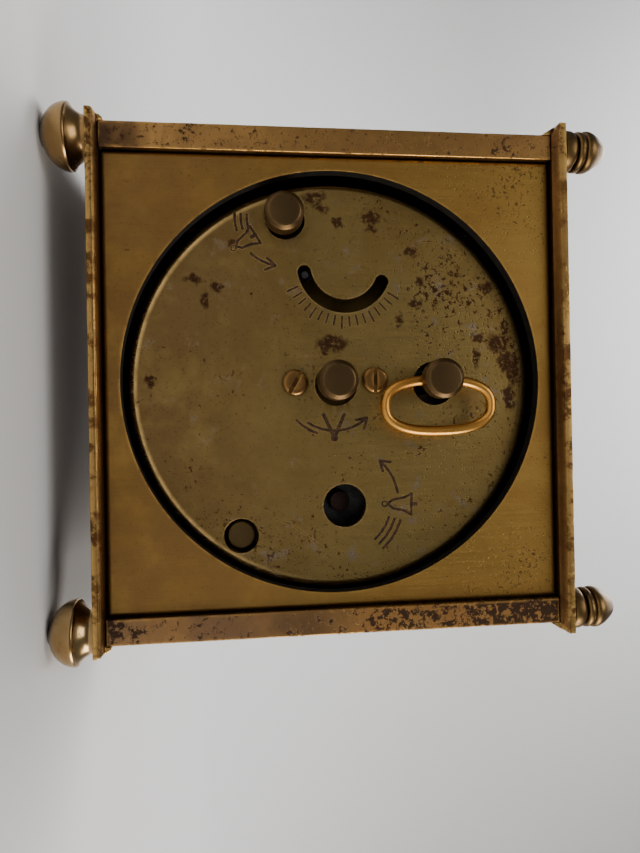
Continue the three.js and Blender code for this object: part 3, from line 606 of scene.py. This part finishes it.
BROWN = (58, 38, 30)
MATERIALS = {
    # The cover carries a painted highlight on its rolled rim, strongest towards the feet.
    "cover": aged_brass(
        "cover_brass", (158, 134, 80), (130, 106, 60), (54, 26, 12), (0.36, 0.44), blotches=0.85,
        blotch_scale=1.4, pits=0.8, worn_width=0.35, hollow_shade=0.8, bright=(222, 184, 118),
        bloom=(150, 132, 114), painted_highlight=rolled_rim, brush=(6.0, 1.0, 0.12), spots=COVER_STAINS,
        region=denser_at_top, low_tone=(112, 88, 54), low_tone_heights=(50, 14)),
    "panel": aged_brass(
        "panel_brass", (164, 130, 68), (142, 108, 56), (88, 64, 34), (0.4, 0.5), blotches=0.75,
        blotch_scale=1.8, pits=0.8, wear=0.5, hollow_shade=0.6, brush=(5.0, 5.0, 0.15), grain=0.02,
        region=panel_corners, low_tone=(124, 94, 54), low_tone_heights=(55, 15)),
    "pillar_left": aged_brass(
        "pillar_left_brass", (180, 138, 82), (146, 106, 62), (50, 34, 24), (0.32, 0.5), blotches=1.8,
        blotch_scale=1.0, pits=0.9, wear=0.9, hollow_shade=0.5, region=near_ends, low_tone=(122, 94, 68),
        low_tone_heights=(48, 34)),
    "pillar_right": aged_brass(
        "pillar_right_brass", (194, 148, 86), (136, 102, 62), (62, 42, 28), (0.3, 0.46), blotches=1.1,
        blotch_scale=1.2, pits=1.0, wear=0.9, hollow_shade=0.5, low_tone=(70, 52, 40), low_tone_heights=(17, 11)),
    "plate": aged_brass(
        "plate_brass", (128, 92, 52), (84, 57, 34), BROWN, (0.32, 0.5), blotches=0.9, pits=0.5, wear=0.85,
        worn_width=1.0, bright=(236, 192, 112), hollow_shade=0.6),
    "foot": aged_brass(
        "foot_brass", (186, 158, 112), (146, 114, 72), (88, 62, 40), (0.16, 0.28), blotches=0.3, pits=0.15,
        wear=0.3, hollow_shade=0.5, grain=0.004),
    "finial": aged_brass(
        "finial_brass", (124, 98, 60), (84, 65, 40), (36, 26, 18), (0.3, 0.46), pits=0.5, wear=0.35,
        hollow_shade=0.8),
    "bezel": aged_brass(
        "bezel_brass", (208, 164, 88), (176, 130, 62), BROWN, (0.16, 0.28), blotches=0.1, pits=0.15,
        wear=0.3, grain=0.004),
    "knob": aged_brass(
        "knob_brass", (92, 74, 48), (82, 64, 42), (44, 32, 22), (0.38, 0.44), blotches=0.0, pits=0.12,
        wear=0.9, bright=(184, 136, 84), hollow_shade=0.5),
    "screw": aged_brass(
        "screw_brass", (140, 104, 60), (112, 80, 46), BROWN, (0.34, 0.44), pits=0.6, wear=0.3, hollow_shade=0.9,
        brush=(1.0, 1.0, 8.0)),
    "button": aged_brass(
        "button_brass", (100, 82, 52), (80, 64, 42), BROWN, (0.36, 0.46), blotches=0.2, pits=0.2, wear=0.4,
        hollow_shade=0.5),
    "ring": aged_brass(
        "ring_brass", (216, 160, 80), (188, 130, 60), (120, 70, 36), (0.3, 0.4), blotches=0.0, pits=0.1,
        wear=0.3, hollow_shade=0.6, grain=0.004),
    "handle": aged_brass(
        "handle_brass", (190, 146, 78), (152, 110, 56), BROWN, (0.22, 0.34), blotches=0.4, pits=0.3),
    "arbor": aged_brass(
        "arbor_steel", (66, 50, 46), (44, 34, 32), (26, 18, 16), (0.4, 0.55), blotches=0.4, pits=0.3,
        wear=0.4, bright=(110, 92, 84), hollow_shade=0.9),
    "movement": aged_brass(
        "movement_brass", (150, 124, 72), (118, 94, 52), BROWN, (0.3, 0.42), blotches=0.0, pits=0.1,
        wear=0.0, hollow_shade=0.6, brush=(7.0, 7.0, 0.3)),
}


def steel_material():
    g = Graph("movement_steel")
    lines = g.noise(1.0, 3.0, 0.6, place=g.stretched(8.0, 0.6, 8.0))
    cloud = g.noise(0.4, 4.0, 0.6)
    # The steel's tones are kept dark: painted shade for the parts inside the case.
    tone = g.mix(g.level(cloud, 0.35, 0.65), rgb(70, 68, 68), rgb(104, 102, 100))
    # Painted shade: near black in corners and against neighbouring parts.
    tone = g.mix(g.hollows(2.5 * MM), tone, rgb(14, 12, 12))
    g.set(Base_Color=tone, Metallic=1.0, Roughness=g.level(lines, 0.3, 0.7, 0.24, 0.38))
    g.bump(lines, 0.004)
    return g.material


def cloudy(name, scale, detail, spread, tones, roughness, depth, **others):
    """A finish that drifts between two tones and two roughnesses, on a surface that rises with them."""
    g = Graph(name)
    cloud = g.noise(scale, detail, 0.6)
    tone = g.mix(g.level(cloud, *spread), *tones)
    g.set(Base_Color=tone, Roughness=g.level(cloud, *spread, *roughness), **others)
    g.bump(cloud, depth)
    return g.material


def dial_material():
    g = Graph("dial_enamel")
    cloud = g.noise(0.1, 4.0, 0.6)
    fine = g.noise(2.5, 3.0, 0.6)
    tone = g.mix(g.level(cloud, 0.3, 0.7), rgb(233, 226, 206), rgb(224, 213, 186))
    tone = g.mix(g.times(g.dots(0.9, 0.12, 0.15), 0.4), tone, rgb(150, 120, 80))
    g.set(Base_Color=tone, Metallic=0.0, Roughness=g.level(fine, 0.3, 0.7, 0.42, 0.55))
    g.bump(fine, 0.004)
    return g.material


def glass_material():
    g = Graph("clear_glass")
    smear = g.noise(0.25, 4.0, 0.6)
    g.set(Base_Color=g.mix(smear, rgb(214, 226, 222), rgb(240, 244, 240)), Metallic=0.0, IOR=1.45)
    g.set(Roughness=g.level(smear, 0.3, 0.75, 0.02, 0.09), Alpha=g.level(smear, 0.3, 0.75, 0.03, 0.06))
    return g.material


MATERIALS["steel"] = steel_material()
MATERIALS["engraving"] = cloudy("engraving_dirt", 1.6, 4.0, (0.35, 0.65), (rgb(44, 28, 20), rgb(88, 62, 38)),
                                (0.55, 0.55), 0.02, Metallic=0.6)
# Near black painted shade, for the walls of the panels' round holes.
MATERIALS["painted_shade"] = cloudy("hole_painted_shade", 0.8, 4.0, (0.35, 0.65), (rgb(8, 6, 5), rgb(22, 17, 12)),
                           (0.8, 0.8), 0.02, Specular_IOR_Level=0.2)
MATERIALS["dial"] = dial_material()
MATERIALS["print"] = cloudy("dial_print", 2.0, 3.0, (0.3, 0.7), (rgb(24, 22, 22), rgb(44, 40, 38)),
                            (0.5, 0.5), 0.002)
MATERIALS["hand"] = cloudy("hand_paint", 1.5, 4.0, (0.3, 0.7), (rgb(18, 18, 20), rgb(40, 38, 38)),
                           (0.3, 0.45), 0.003, Metallic=0.3)
MATERIALS["glass"] = glass_material()


# ---- case
def make_case_blocks():
    for plate in ("base_plate", "top_plate"):
        piece = refined(plate, 0.16 * MM, dents=0.09 * MM)
        install(piece, "plate", "case", "plate_brass", plate)
    for corner in CORNERS:
        node = "pillar_" + corner
        side = "left" if corner.endswith("left") else "right"
        piece = refined(node, 0.22 * MM, dents=0.05 * MM)
        install(piece, "pillar_" + side, "case", "pillar_brass", node)


def stand_at_corners(kind, points):
    """A turned piece at each corner of the case."""
    for corner in CORNERS:
        node = kind + "_" + corner
        piece = turned("fine_" + node, points, underside(node), UP)
        install(piece, kind, "case", kind + "_brass", node)


def make_feet():
    """A ball foot: a dome below a crisp rim, then a hollow neck that flares out under the base plate."""
    width, _, height = extent("foot_rear_left")
    rim = 3.95
    wide = width / 2
    points = [(0, 0, 0), (1.45, 0, 0)]
    for turn in range(-66, -5, 10):
        angle = math.radians(turn)
        points.append((wide * math.cos(angle), rim * (1 + math.sin(angle)), 0))
    points += [(wide, rim - 0.1, 0.3), (wide - 0.1, rim + 0.2, 0.1), (4.3, 4.3, 0.3), (3.6, 5.0, 1.0),
               (3.1, 5.9, 0.8), (3.15, height, 0), (0, height, 0)]
    stand_at_corners("foot", points)


def make_finials():
    """A turned finial: a neck, two beads with a groove between them, and a blunt cone."""
    height = extent("finial_rear_left")[2]
    points = [(0, 0, 0), (2.45, 0, 0.1), (2.5, 0.25, 0.15), (3.15, 0.45, 0.7), (3.15, 2.15, 0.8),
              (2.35, 2.35, 0.2), (2.35, 2.6, 0.15), (3.05, 2.75, 0.4), (3.05, 3.6, 0.4), (2.65, 3.72, 0.1),
              (2.7, 3.9, 0.12), (3.15, 4.05, 0.5), (3.1, 5.2, 1.3), (1.6, 7.3, 1.1), (0.8, height, 0.7),
              (0, height, 0)]
    stand_at_corners("finial", points)


def rolled_sheet(name, half_width, half_height, roll, back):
    """A pressed sheet with rolled edges, facing +Y with its face at y = 0. back is how deep its edge goes."""
    section = [(0.0, -back)]
    for turn in range(0, 91, 15):
        angle = math.radians(turn)
        section.append((roll * math.cos(angle) - roll, roll * math.sin(angle) - roll))
    corner = 0.5 * MM
    verts = []
    loops = []
    for inset, y in section:
        loop = []
        for sign_x, sign_z, start in ((1, 1, 0), (-1, 1, 90), (-1, -1, 180), (1, -1, 270)):
            for step in range(5):
                angle = math.radians(start + step * 22.5)
                radius = max(corner + inset, 0.1 * MM)
                x = sign_x * (half_width + inset - radius) + radius * math.cos(angle)
                z = sign_z * (half_height + inset - radius) + radius * math.sin(angle)
                loop.append(len(verts))
                verts.append(Vector((x, y, z)))
        loops.append(loop)
    faces = [tuple(loops[0]), tuple(loops[-1])]
    for low, high in zip(loops, loops[1:]):
        for step in range(len(low)):
            following = (step + 1) % len(low)
            faces.append((low[step], low[following], high[following], high[step]))
    return mesh_object(name, verts, faces)


HOLE_RADIUS = {"rear_panel": 31.4 * MM, "front_panel": 28.5 * MM}


def make_panels():
    """Pressed panels, close between the pillars. The walls of their round holes are painted near black as shade.
    """
    roll = 0.9 * MM
    tuck = 0.17 * MM
    for node, turn in (("rear_panel", 0), ("front_panel", 180), ("left_panel", 90), ("right_panel", -90)):
        low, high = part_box(node)
        centre = (low + high) / 2
        half = (high - low) / 2
        thick = 2 * (half.y if turn in (0, 180) else half.x)
        wide = half.x if turn in (0, 180) else half.y
        piece = rolled_sheet("fine_" + node, wide + tuck, half.z + tuck, roll, thick)
        outward = Matrix.Rotation(math.radians(turn), 4, "Z")
        face = outward @ Vector((0, thick / 2, 0))
        piece.data.transform(Matrix.Translation(centre + face) @ outward)
        if node in HOLE_RADIUS:
            hole = prism("hole", circle(ARBOR["centre"], HOLE_RADIUS[node], 192), low.y - MM, high.y + MM)
            # The hole's wall is painted near black as shade.
            paint(hole, "painted_shade")
            carve(piece, [hole], "panel")
        soften(piece, 0.12 * MM, 2, angle=40)
        install(piece, "panel", "case", "panel_brass", node)


# ---- rear cover and what shows on it
SLOT_RADIUS = 6.3 * MM
SLOT_HALF = 1.05 * MM
SLOT_ENDS = (113, 260)
STROKE = 0.21 * MM


def slot_outline():
    """The curved slot, with round ends."""
    centre = ARBOR["regulator"]
    start, end = SLOT_ENDS
    outer = arc(centre, SLOT_RADIUS + SLOT_HALF, start, end, 36)
    inner = arc(centre, SLOT_RADIUS - SLOT_HALF, end, start, 36)
    at_end = arc(on_circle(centre, SLOT_RADIUS, end), SLOT_HALF, end, end + 180, 12)
    at_start = arc(on_circle(centre, SLOT_RADIUS, start), SLOT_HALF, start + 180, start + 360, 12)
    return outer + at_end[1:-1] + inner + at_start[1:-1]


def stroke(start, end, half_width=STROKE):
    """The cutter of one engraved line, with round ends, from one X-Z place to another."""
    bearing = math.degrees(math.atan2(end[1] - start[1], end[0] - start[0]))
    outline = arc(end, half_width, bearing - 90, bearing + 90, 6)
    outline += arc(start, half_width, bearing + 90, bearing + 270, 6)
    return prism("stroke", outline, COVER_FACE - 0.08 * MM, COVER_FACE + 0.5 * MM)


def arc_strokes(centre, radius, start, end, pieces, half_width=STROKE):
    places = arc(centre, radius, start, end, pieces)
    return [stroke(a, b, half_width) for a, b in zip(places, places[1:])]


def arrow_head(centre, radius, tip, reach=1.7 * MM):
    """Two barbs at the end of a curved arrow that runs to a lower bearing."""
    point = on_circle(centre, radius, tip)
    return [stroke(point, on_circle(point, reach, tip + 90 + side * 32)) for side in (-1, 1)]


def bell(centre, angle, near, length, half_mouth):
    """A plain bell outline lying along a radius: a loop at its crown and a flared mouth."""
    def place(out, aside):
        return on_circle(on_circle(centre, near + out, angle), aside, angle + 90)

    crown = place(0, 0)
    strokes = arc_strokes(crown, 0.42 * MM, 0, 360, 8, 0.12 * MM)
    for side in (-1, 1):
        shoulder = place(0.3 * length, side * 0.42 * half_mouth)
        waist = place(0.72 * length, side * 0.62 * half_mouth)
        lip = place(length, side * half_mouth)
        strokes += [stroke(place(0.12 * length, 0), shoulder), stroke(shoulder, waist), stroke(waist, lip)]
    strokes.append(stroke(place(length, -half_mouth), place(length, half_mouth)))
    strokes.append(stroke(place(length, 0), place(length + 0.7 * MM, 0), 0.3 * MM))
    return strokes


def tail_lines(centre, radius, gap, start, end):
    return [s for line in (-1, 0, 1) for s in arc_strokes(centre, radius + line * gap, start, end, 3)]


def curved_arrow(centre, radius, start, tip, pieces):
    """An arrow round a centre, from one bearing to a lower one."""
    return arc_strokes(centre, radius, start, tip, pieces) + arrow_head(centre, radius, tip)


def engravings():
    """The regulator's scale, the signs and arrows of the alarm, and the sign and arrow of the hands."""
    strokes = []
    regulator = ARBOR["regulator"]
    for tick in range(17):
        angle = 122 + tick * 7.7
        far = (9.75 if tick % 4 == 0 else 9.35) * MM
        near_end = on_circle(regulator, 7.95 * MM, angle)
        strokes.append(stroke(near_end, on_circle(regulator, far, angle), 0.14 * MM))

    alarm_key = ARBOR["alarm_key"]
    strokes += curved_arrow(alarm_key, 8.7 * MM, 80, 42, 5)
    strokes += bell(alarm_key, 92, 6.5 * MM, 4.2 * MM, 1.6 * MM)
    strokes += tail_lines(alarm_key, 8.4 * MM, 0.95 * MM, 108, 139)

    alarm_set = ARBOR["alarm_set"]
    strokes += curved_arrow(alarm_set, 7.4 * MM, 222, 190, 4)
    strokes += bell(alarm_set, 238, 8.9 * MM, -3.9 * MM, 1.5 * MM)
    strokes += tail_lines(alarm_set, 6.4 * MM, 0.9 * MM, 254, 274)

    centre = ARBOR["centre"]
    strokes += curved_arrow(centre, 7.4 * MM, 214, 138, 8)
    strokes += arc_strokes(centre, 8.2 * MM, 226, 200, 4)
    pivot = on_circle(centre, 8.5 * MM, 181)
    strokes += arc_strokes(pivot, 0.45 * MM, 0, 360, 8, 0.14 * MM)
    for side in (-24, 24):
        strokes.append(stroke(pivot, on_circle(pivot, 3.9 * MM, side), 0.28 * MM))
    return strokes


def scratches():
    """A broken round scratch above the regulator's scale, and a hairline beside the stop button."""
    strokes = []
    round_centre = (14.3 * MM, 57.2 * MM)
    for start in range(-8, 52, 8):
        strokes += arc_strokes(round_centre, 7.5 * MM, start, start + 4.5, 2, 0.07 * MM)
    hairline = [(-20.6, 32.7), (-21.3, 34.6), (-22.4, 36.4), (-24.0, 38.2), (-25.3, 39.9)]
    for (x, z), (next_x, next_z) in zip(hairline, hairline[1:]):
        strokes.append(stroke((x * MM, z * MM), (next_x * MM, next_z * MM), 0.05 * MM))
    return strokes


def make_cover():
    """The pressed movement cover: a flat pan with a rolled rim, holes, the regulator's slot and marks."""
    radius = COVER_RADIUS / MM
    depth = extent("rear_cover")[1]
    sheet = 0.6
    points = [(0, -sheet, 0), (radius - sheet, -sheet, RIM_ROLL - sheet), (radius - sheet, -depth, 0),
              (radius, -depth, 0), (radius, 0, RIM_ROLL), (radius - 2.2, 0, 0), (0, 0, 0)]
    at = Vector((COVER_CENTRE[0], COVER_FACE, COVER_CENTRE[1]))
    cover = turned("fine_rear_cover", points, at, REARWARD, 192)
    holes = [
        (ARBOR["centre"], HOLE_SHIFT, 3.3),
        (ARBOR["key"], HOLE_SHIFT, 3.4),
        (ARBOR["alarm_key"], HOLE_SHIFT, 3.3),
        (ARBOR["alarm_set"], HOLE_SHIFT, 3.0),
        (ARBOR["stop"], (0, 0), 2.6),
    ]
    outlines = []
    for (x, z), (shift_x, shift_z), size in holes:
        outlines.append(circle((x + shift_x, z + shift_z), size * MM, 72))
    outlines.append(slot_outline())
    cutters = [prism("hole", each, COVER_FACE - 2 * MM, COVER_FACE + 2 * MM) for each in outlines]
    carve(cover, cutters, "cover")
    soften(cover, 0.1 * MM, 2, angle=40)
    marks = joined("marks", engravings())
    paint(marks, "engraving")
    worn = joined("worn", scratches())
    paint(worn, "bezel")
    carve(cover, [marks, worn], "cover", own_overlaps=True)
    install(cover, "cover", "case", "cover_brass", "rear_cover")


def drill(made, at, axis, radius, finish):
    """Bores right through a piece at a pivot. The radius is in millimetres."""
    reach = 5
    outline = [(0, -reach, 0), (radius, -reach, 0), (radius, reach, 0), (0, reach, 0)]
    bore = turned("bore", outline, at, axis, 40)
    carve(made, [bore], finish)


def knob(node, stem, head_height, body, pivot=None):
    """A control knob: a stem, then a head with a chamfered rim and a faintly domed face.

    The winding key's stem is bored at the pivot of its ring.
    """
    width, length, _ = extent(node)
    wide = width / 2
    points = [(0, -length, 0), (stem, -length, 0.1), (stem, -head_height, 0.25),
              (wide - 0.15, -head_height, 0.2), (wide, -head_height + 0.25, 0.15), (wide, -0.62, 0.15),
              (wide - 0.62, -0.08, 0.16), (0, 0, 0)]
    made = turned("fine_" + node, points, rear_face(node), REARWARD)
    if pivot:
        drill(made, pivot, UP, 0.9, "knob")
    install(made, "knob", body, "knob_brass", node)


def make_controls():
    knob("hand_set_knob", 1.9, 3.3, "minute_arbor")
    knob("alarm_set_knob", 1.7, 3.3, "alarm_set")
    knob("time_winding_key", 1.75, 3.0, "winding_key", JOINT_AT["key_ring_fold"])
    length = extent("stop_button")[1]
    points = [(0, -length, 0), (1.0, -length, 0), (1.0, -2.6, 0.1), (2.25, -2.6, 0.1), (2.25, -0.3, 0.2),
              (1.95, -0.04, 0.2), (0, 0, 0)]
    button = turned("fine_stop_button", points, rear_face("stop_button"), REARWARD, 72)
    install(button, "button", "stop_button", "knob_brass", "stop_button")


def make_screws():
    """Cheese-head screws with a slot."""
    for number, turn in ((1, -30), (2, 0)):
        node = "cover_screw_%d" % number
        at = rear_face(node)
        length = extent(node)[1]
        points = [(0, -length, 0), (0.9, -length, 0), (0.9, -0.68, 0), (1.95, -0.68, 0.05),
                  (1.95, -0.28, 0.15), (1.6, -0.02, 0.18), (0, 0, 0)]
        piece = turned("fine_" + node, points, at, REARWARD, 72)
        half = 0.27 * MM
        reach = 2.4 * MM
        outline = [(-reach, -half), (reach, -half), (reach, half), (-reach, half)]
        slot = prism("slot", outline, -0.42 * MM, 0.5 * MM)
        slot.data.transform(Matrix.Translation(at) @ Matrix.Rotation(math.radians(turn), 4, "Y"))
        carve(piece, [slot], "screw")
        soften(piece, 0.05 * MM, 2, angle=45)
        install(piece, "screw", "case", "knob_brass", node)


def make_key_ring():
    """The key's oval folding ring. One of its long sides passes through the stem."""
    low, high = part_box("winding_key_ring")
    wire = (high.y - low.y) / 2
    centre = (low + high) / 2
    half_x = (high.x - low.x) / 2 - wire
    half_z = (high.z - low.z) / 2 - wire
    squareness = 2.5
    steps = 96
    path = []
    for step in range(steps):
        angle = step * 2 * math.pi / steps
        c, s = math.cos(angle), math.sin(angle)
        x = half_x * math.copysign(abs(c) ** (2 / squareness), c)
        z = half_z * math.copysign(abs(s) ** (2 / squareness), s)
        path.append(Vector((centre.x + x, centre.y, centre.z + z)))
    ring = wire_loop("fine_winding_key_ring", path, wire)
    install(ring, "ring", "key_ring", "ring_brass", "winding_key_ring", weighted=False)


def make_alarm_arbor():
    """The thread on the alarm winding arbor's end, which shows in its hole where the key is missing."""
    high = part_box("alarm_winding_arbor")[1]
    at = Vector((ARBOR["alarm_key"][0], high.y + 0.06 * MM, ARBOR["alarm_key"][1]))
    root, crest, pitch, turns = 1.44, 1.62, 0.4, 9
    points = [(0, -pitch * turns - 0.3, 0), (root, -pitch * turns - 0.3, 0)]
    for turn in range(turns):
        low = (turn - turns) * pitch
        points += [(crest, low, 0), (root, low + pitch / 2, 0)]
    points += [(crest - 0.1, -0.12, 0), (root - 0.2, 0, 0), (0, 0, 0)]
    thread = turned("alarm_arbor_thread", points, at, REARWARD, 48)
    install(thread, "arbor", "alarm_winding", "steel")


# ---- front
def make_bezel():
    """A turned ring with a rounded face, a lip over the glass and a barrel that enters the front panel."""
    at = front_face("bezel")
    depth = extent("bezel")[1]
    seat = (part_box("front_panel")[0].y - at.y) / MM
    outer = extent("bezel")[0] / 2
    barrel = 28.3
    points = [(26.0, -0.55, 0), (26.15, -0.2, 0.2), (27.1, 0, 0.4), (28.6, -0.25, 0.3), (29.0, -0.7, 0.25),
              (outer, -0.95, 0.3), (outer, -seat + 0.1, 0.1), (barrel, -seat + 0.1, 0), (barrel, -depth, 0),
              (barrel - 1.1, -depth, 0), (barrel - 1.1, -0.9, 0), (26.0, -0.9, 0), (26.0, -0.55, 0)]
    ring = turned("fine_bezel", points, at, FORWARD, 192)
    with editing(ring.data) as shape:
        bmesh.ops.remove_doubles(shape, verts=shape.verts, dist=1e-7)
        bmesh.ops.recalc_face_normals(shape, faces=shape.faces)
    install(ring, "bezel", "case", "bezel_brass", "bezel")


def make_glass():
    """A faintly domed pane."""
    wide = extent("glass")[0] / 2
    points = [(0, -0.9, 0), (wide, -0.9, 0), (wide, -0.35, 0.1), (wide - 0.5, -0.22, 0.2)]
    points += [(wide * share, -0.2 * share**2, 0) for share in (0.9, 0.75, 0.6, 0.45, 0.3, 0.15)]
    pane = turned("fine_glass", points + [(0, 0, 0)], front_face("glass"), FORWARD, 128)
    install(pane, "glass", "case", "glass", "glass")


def text_mesh(words, size, centre, face):
    """Upright characters on a plane that faces -Y."""
    curve = bpy.data.curves.new("numeral", "FONT")
    curve.body = words
    curve.size = size
    curve.align_x = "CENTER"
    curve.align_y = "CENTER"
    curve.extrude = 0.015 * MM
    curve.resolution_u = 6
    letters = linked("numeral", curve)
    mesh = bpy.data.meshes.new_from_object(letters.evaluated_get(bpy.context.evaluated_depsgraph_get()))
    bpy.data.objects.remove(letters)
    mesh.transform(Matrix.Translation((centre[0], face, centre[1])) @ Matrix.Rotation(math.pi / 2, 4, "X"))
    return linked("numeral", mesh)


def make_dial():
    """A cream dial with hour numerals and a minute track."""
    at = front_face("dial")
    wide = extent("dial")[0] / 2
    points = [(2.6, -0.5, 0), (2.6, -0.05, 0.05), (2.8, 0, 0.05), (wide - 0.1, 0, 0.05), (wide, -0.1, 0),
              (wide, -0.5, 0), (2.6, -0.5, 0)]
    plate = turned("fine_dial", points, at, FORWARD, 160)
    install(plate, "dial", "case", "dial_paint", "dial")
    centre = ARBOR["centre"]
    ink = 0.015 * MM
    face = at.y - 0.012 * MM
    printed = []
    for hour in range(1, 13):
        place = on_circle(centre, 19.2 * MM, 90 - 30 * hour)
        printed.append(text_mesh(str(hour), 5.4 * MM, place, face))
    for minute in range(60):
        angle = 90 - 6 * minute
        inner, half = (23.0, 0.22) if minute % 5 == 0 else (23.9, 0.1)
        a, b = on_circle(centre, inner * MM, angle), on_circle(centre, 25.0 * MM, angle)
        aside = on_circle((0, 0), half * MM, angle + 90)
        outline = [(a[0] - aside[0], a[1] - aside[1]), (b[0] - aside[0], b[1] - aside[1]),
                   (b[0] + aside[0], b[1] + aside[1]), (a[0] + aside[0], a[1] + aside[1])]
        printed.append(prism("tick", outline, face - ink, face + ink))
    install(joined("dial_numerals", printed), "print", "case", "dial_paint", weighted=False)


def make_hand(node, body, size, clockwise, finish, slot):
    """A hand with a hub, a blade that swells in its middle, and a short tail. Sizes in millimetres."""
    hub, bore, length, width, tail = size
    low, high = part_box(node)
    centre = ARBOR["centre"]
    blade_sides = [(0.0, 0.30), (0.15, 0.22), (0.35, 0.5), (0.55, 0.42), (0.8, 0.2), (0.97, 0.07), (1.0, 0.0)]
    above = [(share * length, half * width) for share, half in blade_sides]
    below = [(along, -half) for along, half in reversed(above[:-1])]
    end = [(-tail, -0.32 * width), (-tail * 1.12, 0.0), (-tail, 0.32 * width)]
    turn = math.radians(90 - clockwise)
    outline = []
    for along, aside in end + above + below:
        x = along * math.cos(turn) - aside * math.sin(turn)
        z = along * math.sin(turn) + aside * math.cos(turn)
        outline.append((centre[0] + x * MM, centre[1] + z * MM))
    blade = prism("fine_" + node, outline, low.y, high.y)
    boss = prism("boss", circle(centre, hub * MM, 64), low.y, high.y)
    for piece in (blade, boss):
        paint(piece, finish)
    combine(blade, boss, "UNION")
    carve(blade, [prism("bore", circle(centre, bore * MM, 48), low.y - MM, high.y + MM)], finish)
    soften(blade, 0.04 * MM, 2, angle=40)
    install(blade, finish, body, slot, node)


def make_hands():
    """Each size is the hub's radius, the bore, the length, the width and the tail."""
    make_hand("minute_hand", "minute_arbor", (1.9, 0.95, 22, 2.6, 4.5), 48, "hand", "hand_black")
    make_hand("hour_hand", "hour_wheel", (2.5, 1.65, 14.5, 3.6, 4), 304, "hand", "hand_black")
    make_hand("alarm_hand", "alarm_dial", (3.0, 2.35, 11, 1.8, 3.2), 205, "handle", "alarm_hand_brass")


# ---- carrying handle
def make_handle_posts():
    """The handle's posts, bored for the pins on its ends."""
    pivot = JOINT_AT["handle_fold"]
    for side in ("left", "right"):
        node = "handle_post_" + side
        at = underside(node)
        points = [(0, 0, 0), (2.0, 0, 0.1), (1.95, 0.35, 0.15), (1.5, 0.75, 0.3), (1.75, 1.4, 0.6),
                  (1.75, 3.1, 0.7), (1.2, 3.85, 0.4), (0, 4.1, 0)]
        post = turned("fine_" + node, points, at, UP, 64)
        drill(post, Vector((at.x, pivot.y, pivot.z)), Vector((1, 0, 0)), 0.85, "handle")
        install(post, "handle", "case", "plate_brass", node)


SLOT_MATERIALS = {"movement_brass": "movement", "steel": "steel", "ring_brass": "handle"}


def dress_cad_pieces():
    """The CAD pieces that nothing replaces take their slot's finish."""
    slots = {row["node"]: row["material_slot"] for row in frame["record"]["subparts"]}
    for name, made in frame["nodes"].items():
        if made.hide_render:
            continue
        made.data.materials.clear()
        paint(made, SLOT_MATERIALS[slots[name]])
        bevel(made, 0.06 * MM, 2, 35)


def make_all():
    make_case_blocks()
    make_feet()
    make_finials()
    make_panels()
    make_cover()
    make_controls()
    make_screws()
    make_key_ring()
    make_alarm_arbor()
    make_bezel()
    make_glass()
    make_dial()
    make_hands()
    make_handle_posts()
    dress_cad_pieces()


# ---- stage, light and camera
def make_stage():
    """A pale floor that curves up into a pale backdrop well behind the dial."""
    near, far, bend, top, half = 1.6, -0.35, 0.35, 1.8, 2.2
    profile = [(near, 0.0), (far, 0.0)]
    for turn in range(10, 91, 10):
        angle = math.radians(turn)
        profile.append((far - bend * math.sin(angle), bend * (1 - math.cos(angle))))
    profile.append((far - bend, top))
    verts = []
    faces = []
    for index, (y, z) in enumerate(profile):
        verts += [Vector((-half, y, z)), Vector((half, y, z))]
        if index:
            faces.append((2 * index - 2, 2 * index - 1, 2 * index + 1, 2 * index))
    floor = mesh_object("floor", verts, faces)
    for face in floor.data.polygons:
        face.use_smooth = True
    g = Graph("floor_paper")
    cloud = g.noise(0.004, 3.0, 0.5)
    g.set(Base_Color=g.mix(cloud, rgb(206, 206, 206), rgb(214, 214, 213)), Roughness=0.85)
    floor.data.materials.append(g.material)


def area_light(name, place, target, size, power, colour=(1, 1, 1)):
    light = bpy.data.lights.new(name, "AREA")
    light.shape = "RECTANGLE"
    light.size, light.size_y = size
    light.energy = power
    light.color = colour
    made = linked(name, light)
    made.location = place
    made.rotation_euler = (Vector(target) - Vector(place)).to_track_quat("-Z", "Y").to_euler()


def make_lights():
    """A low soft key from the clock's left, a weaker fill from above behind it, and light on the backdrop."""
    target = (0, 0, 0.04)
    area_light("key", (-0.75, 0.2, 0.22), target, (0.5, 0.35), 7.0, (1.0, 0.96, 0.9))
    area_light("fill", (0.12, 0.5, 0.72), target, (0.5, 0.45), 3.0, (1.0, 0.97, 0.93))
    area_light("top", (0.05, -0.35, 0.85), (0, -0.2, 0), (0.6, 0.6), 5.0)
    area_light("front", (0.3, -0.6, 0.9), (0, -0.6, 0.1), (0.6, 0.6), 8.0)
    world = bpy.data.worlds.new("studio")
    world.use_nodes = True
    background = world.node_tree.nodes["Background"].inputs
    background["Color"].default_value = rgb(178, 180, 184)
    background["Strength"].default_value = 0.34
    bpy.context.scene.world = world


def make_camera():
    """Behind the clock, close to it and low, turned on its side so that the clock's top points right."""
    eye = Vector((-7.1, 114.2, 28.9)) * MM
    tilt, swing, roll = math.radians(6.38), math.radians(0.22), math.radians(88.98)
    ahead = Vector((math.sin(swing) * math.cos(tilt), -math.cos(swing) * math.cos(tilt), math.sin(tilt)))
    upright = (UP - ahead * ahead.dot(UP)).normalized()
    level = ahead.cross(upright)
    right = level * math.cos(roll) + upright * math.sin(roll)
    over = right.cross(ahead)
    lens = bpy.data.cameras.new("camera")
    lens.sensor_width = 36
    lens.lens = 27.05
    lens.clip_start = 0.005
    camera = linked("camera", lens)
    turn = Matrix((right, over, -ahead)).transposed().to_4x4()
    camera.matrix_world = Matrix.Translation(eye) @ turn
    bpy.context.scene.camera = camera


make_camera()
make_stage()
make_lights()
make_all()
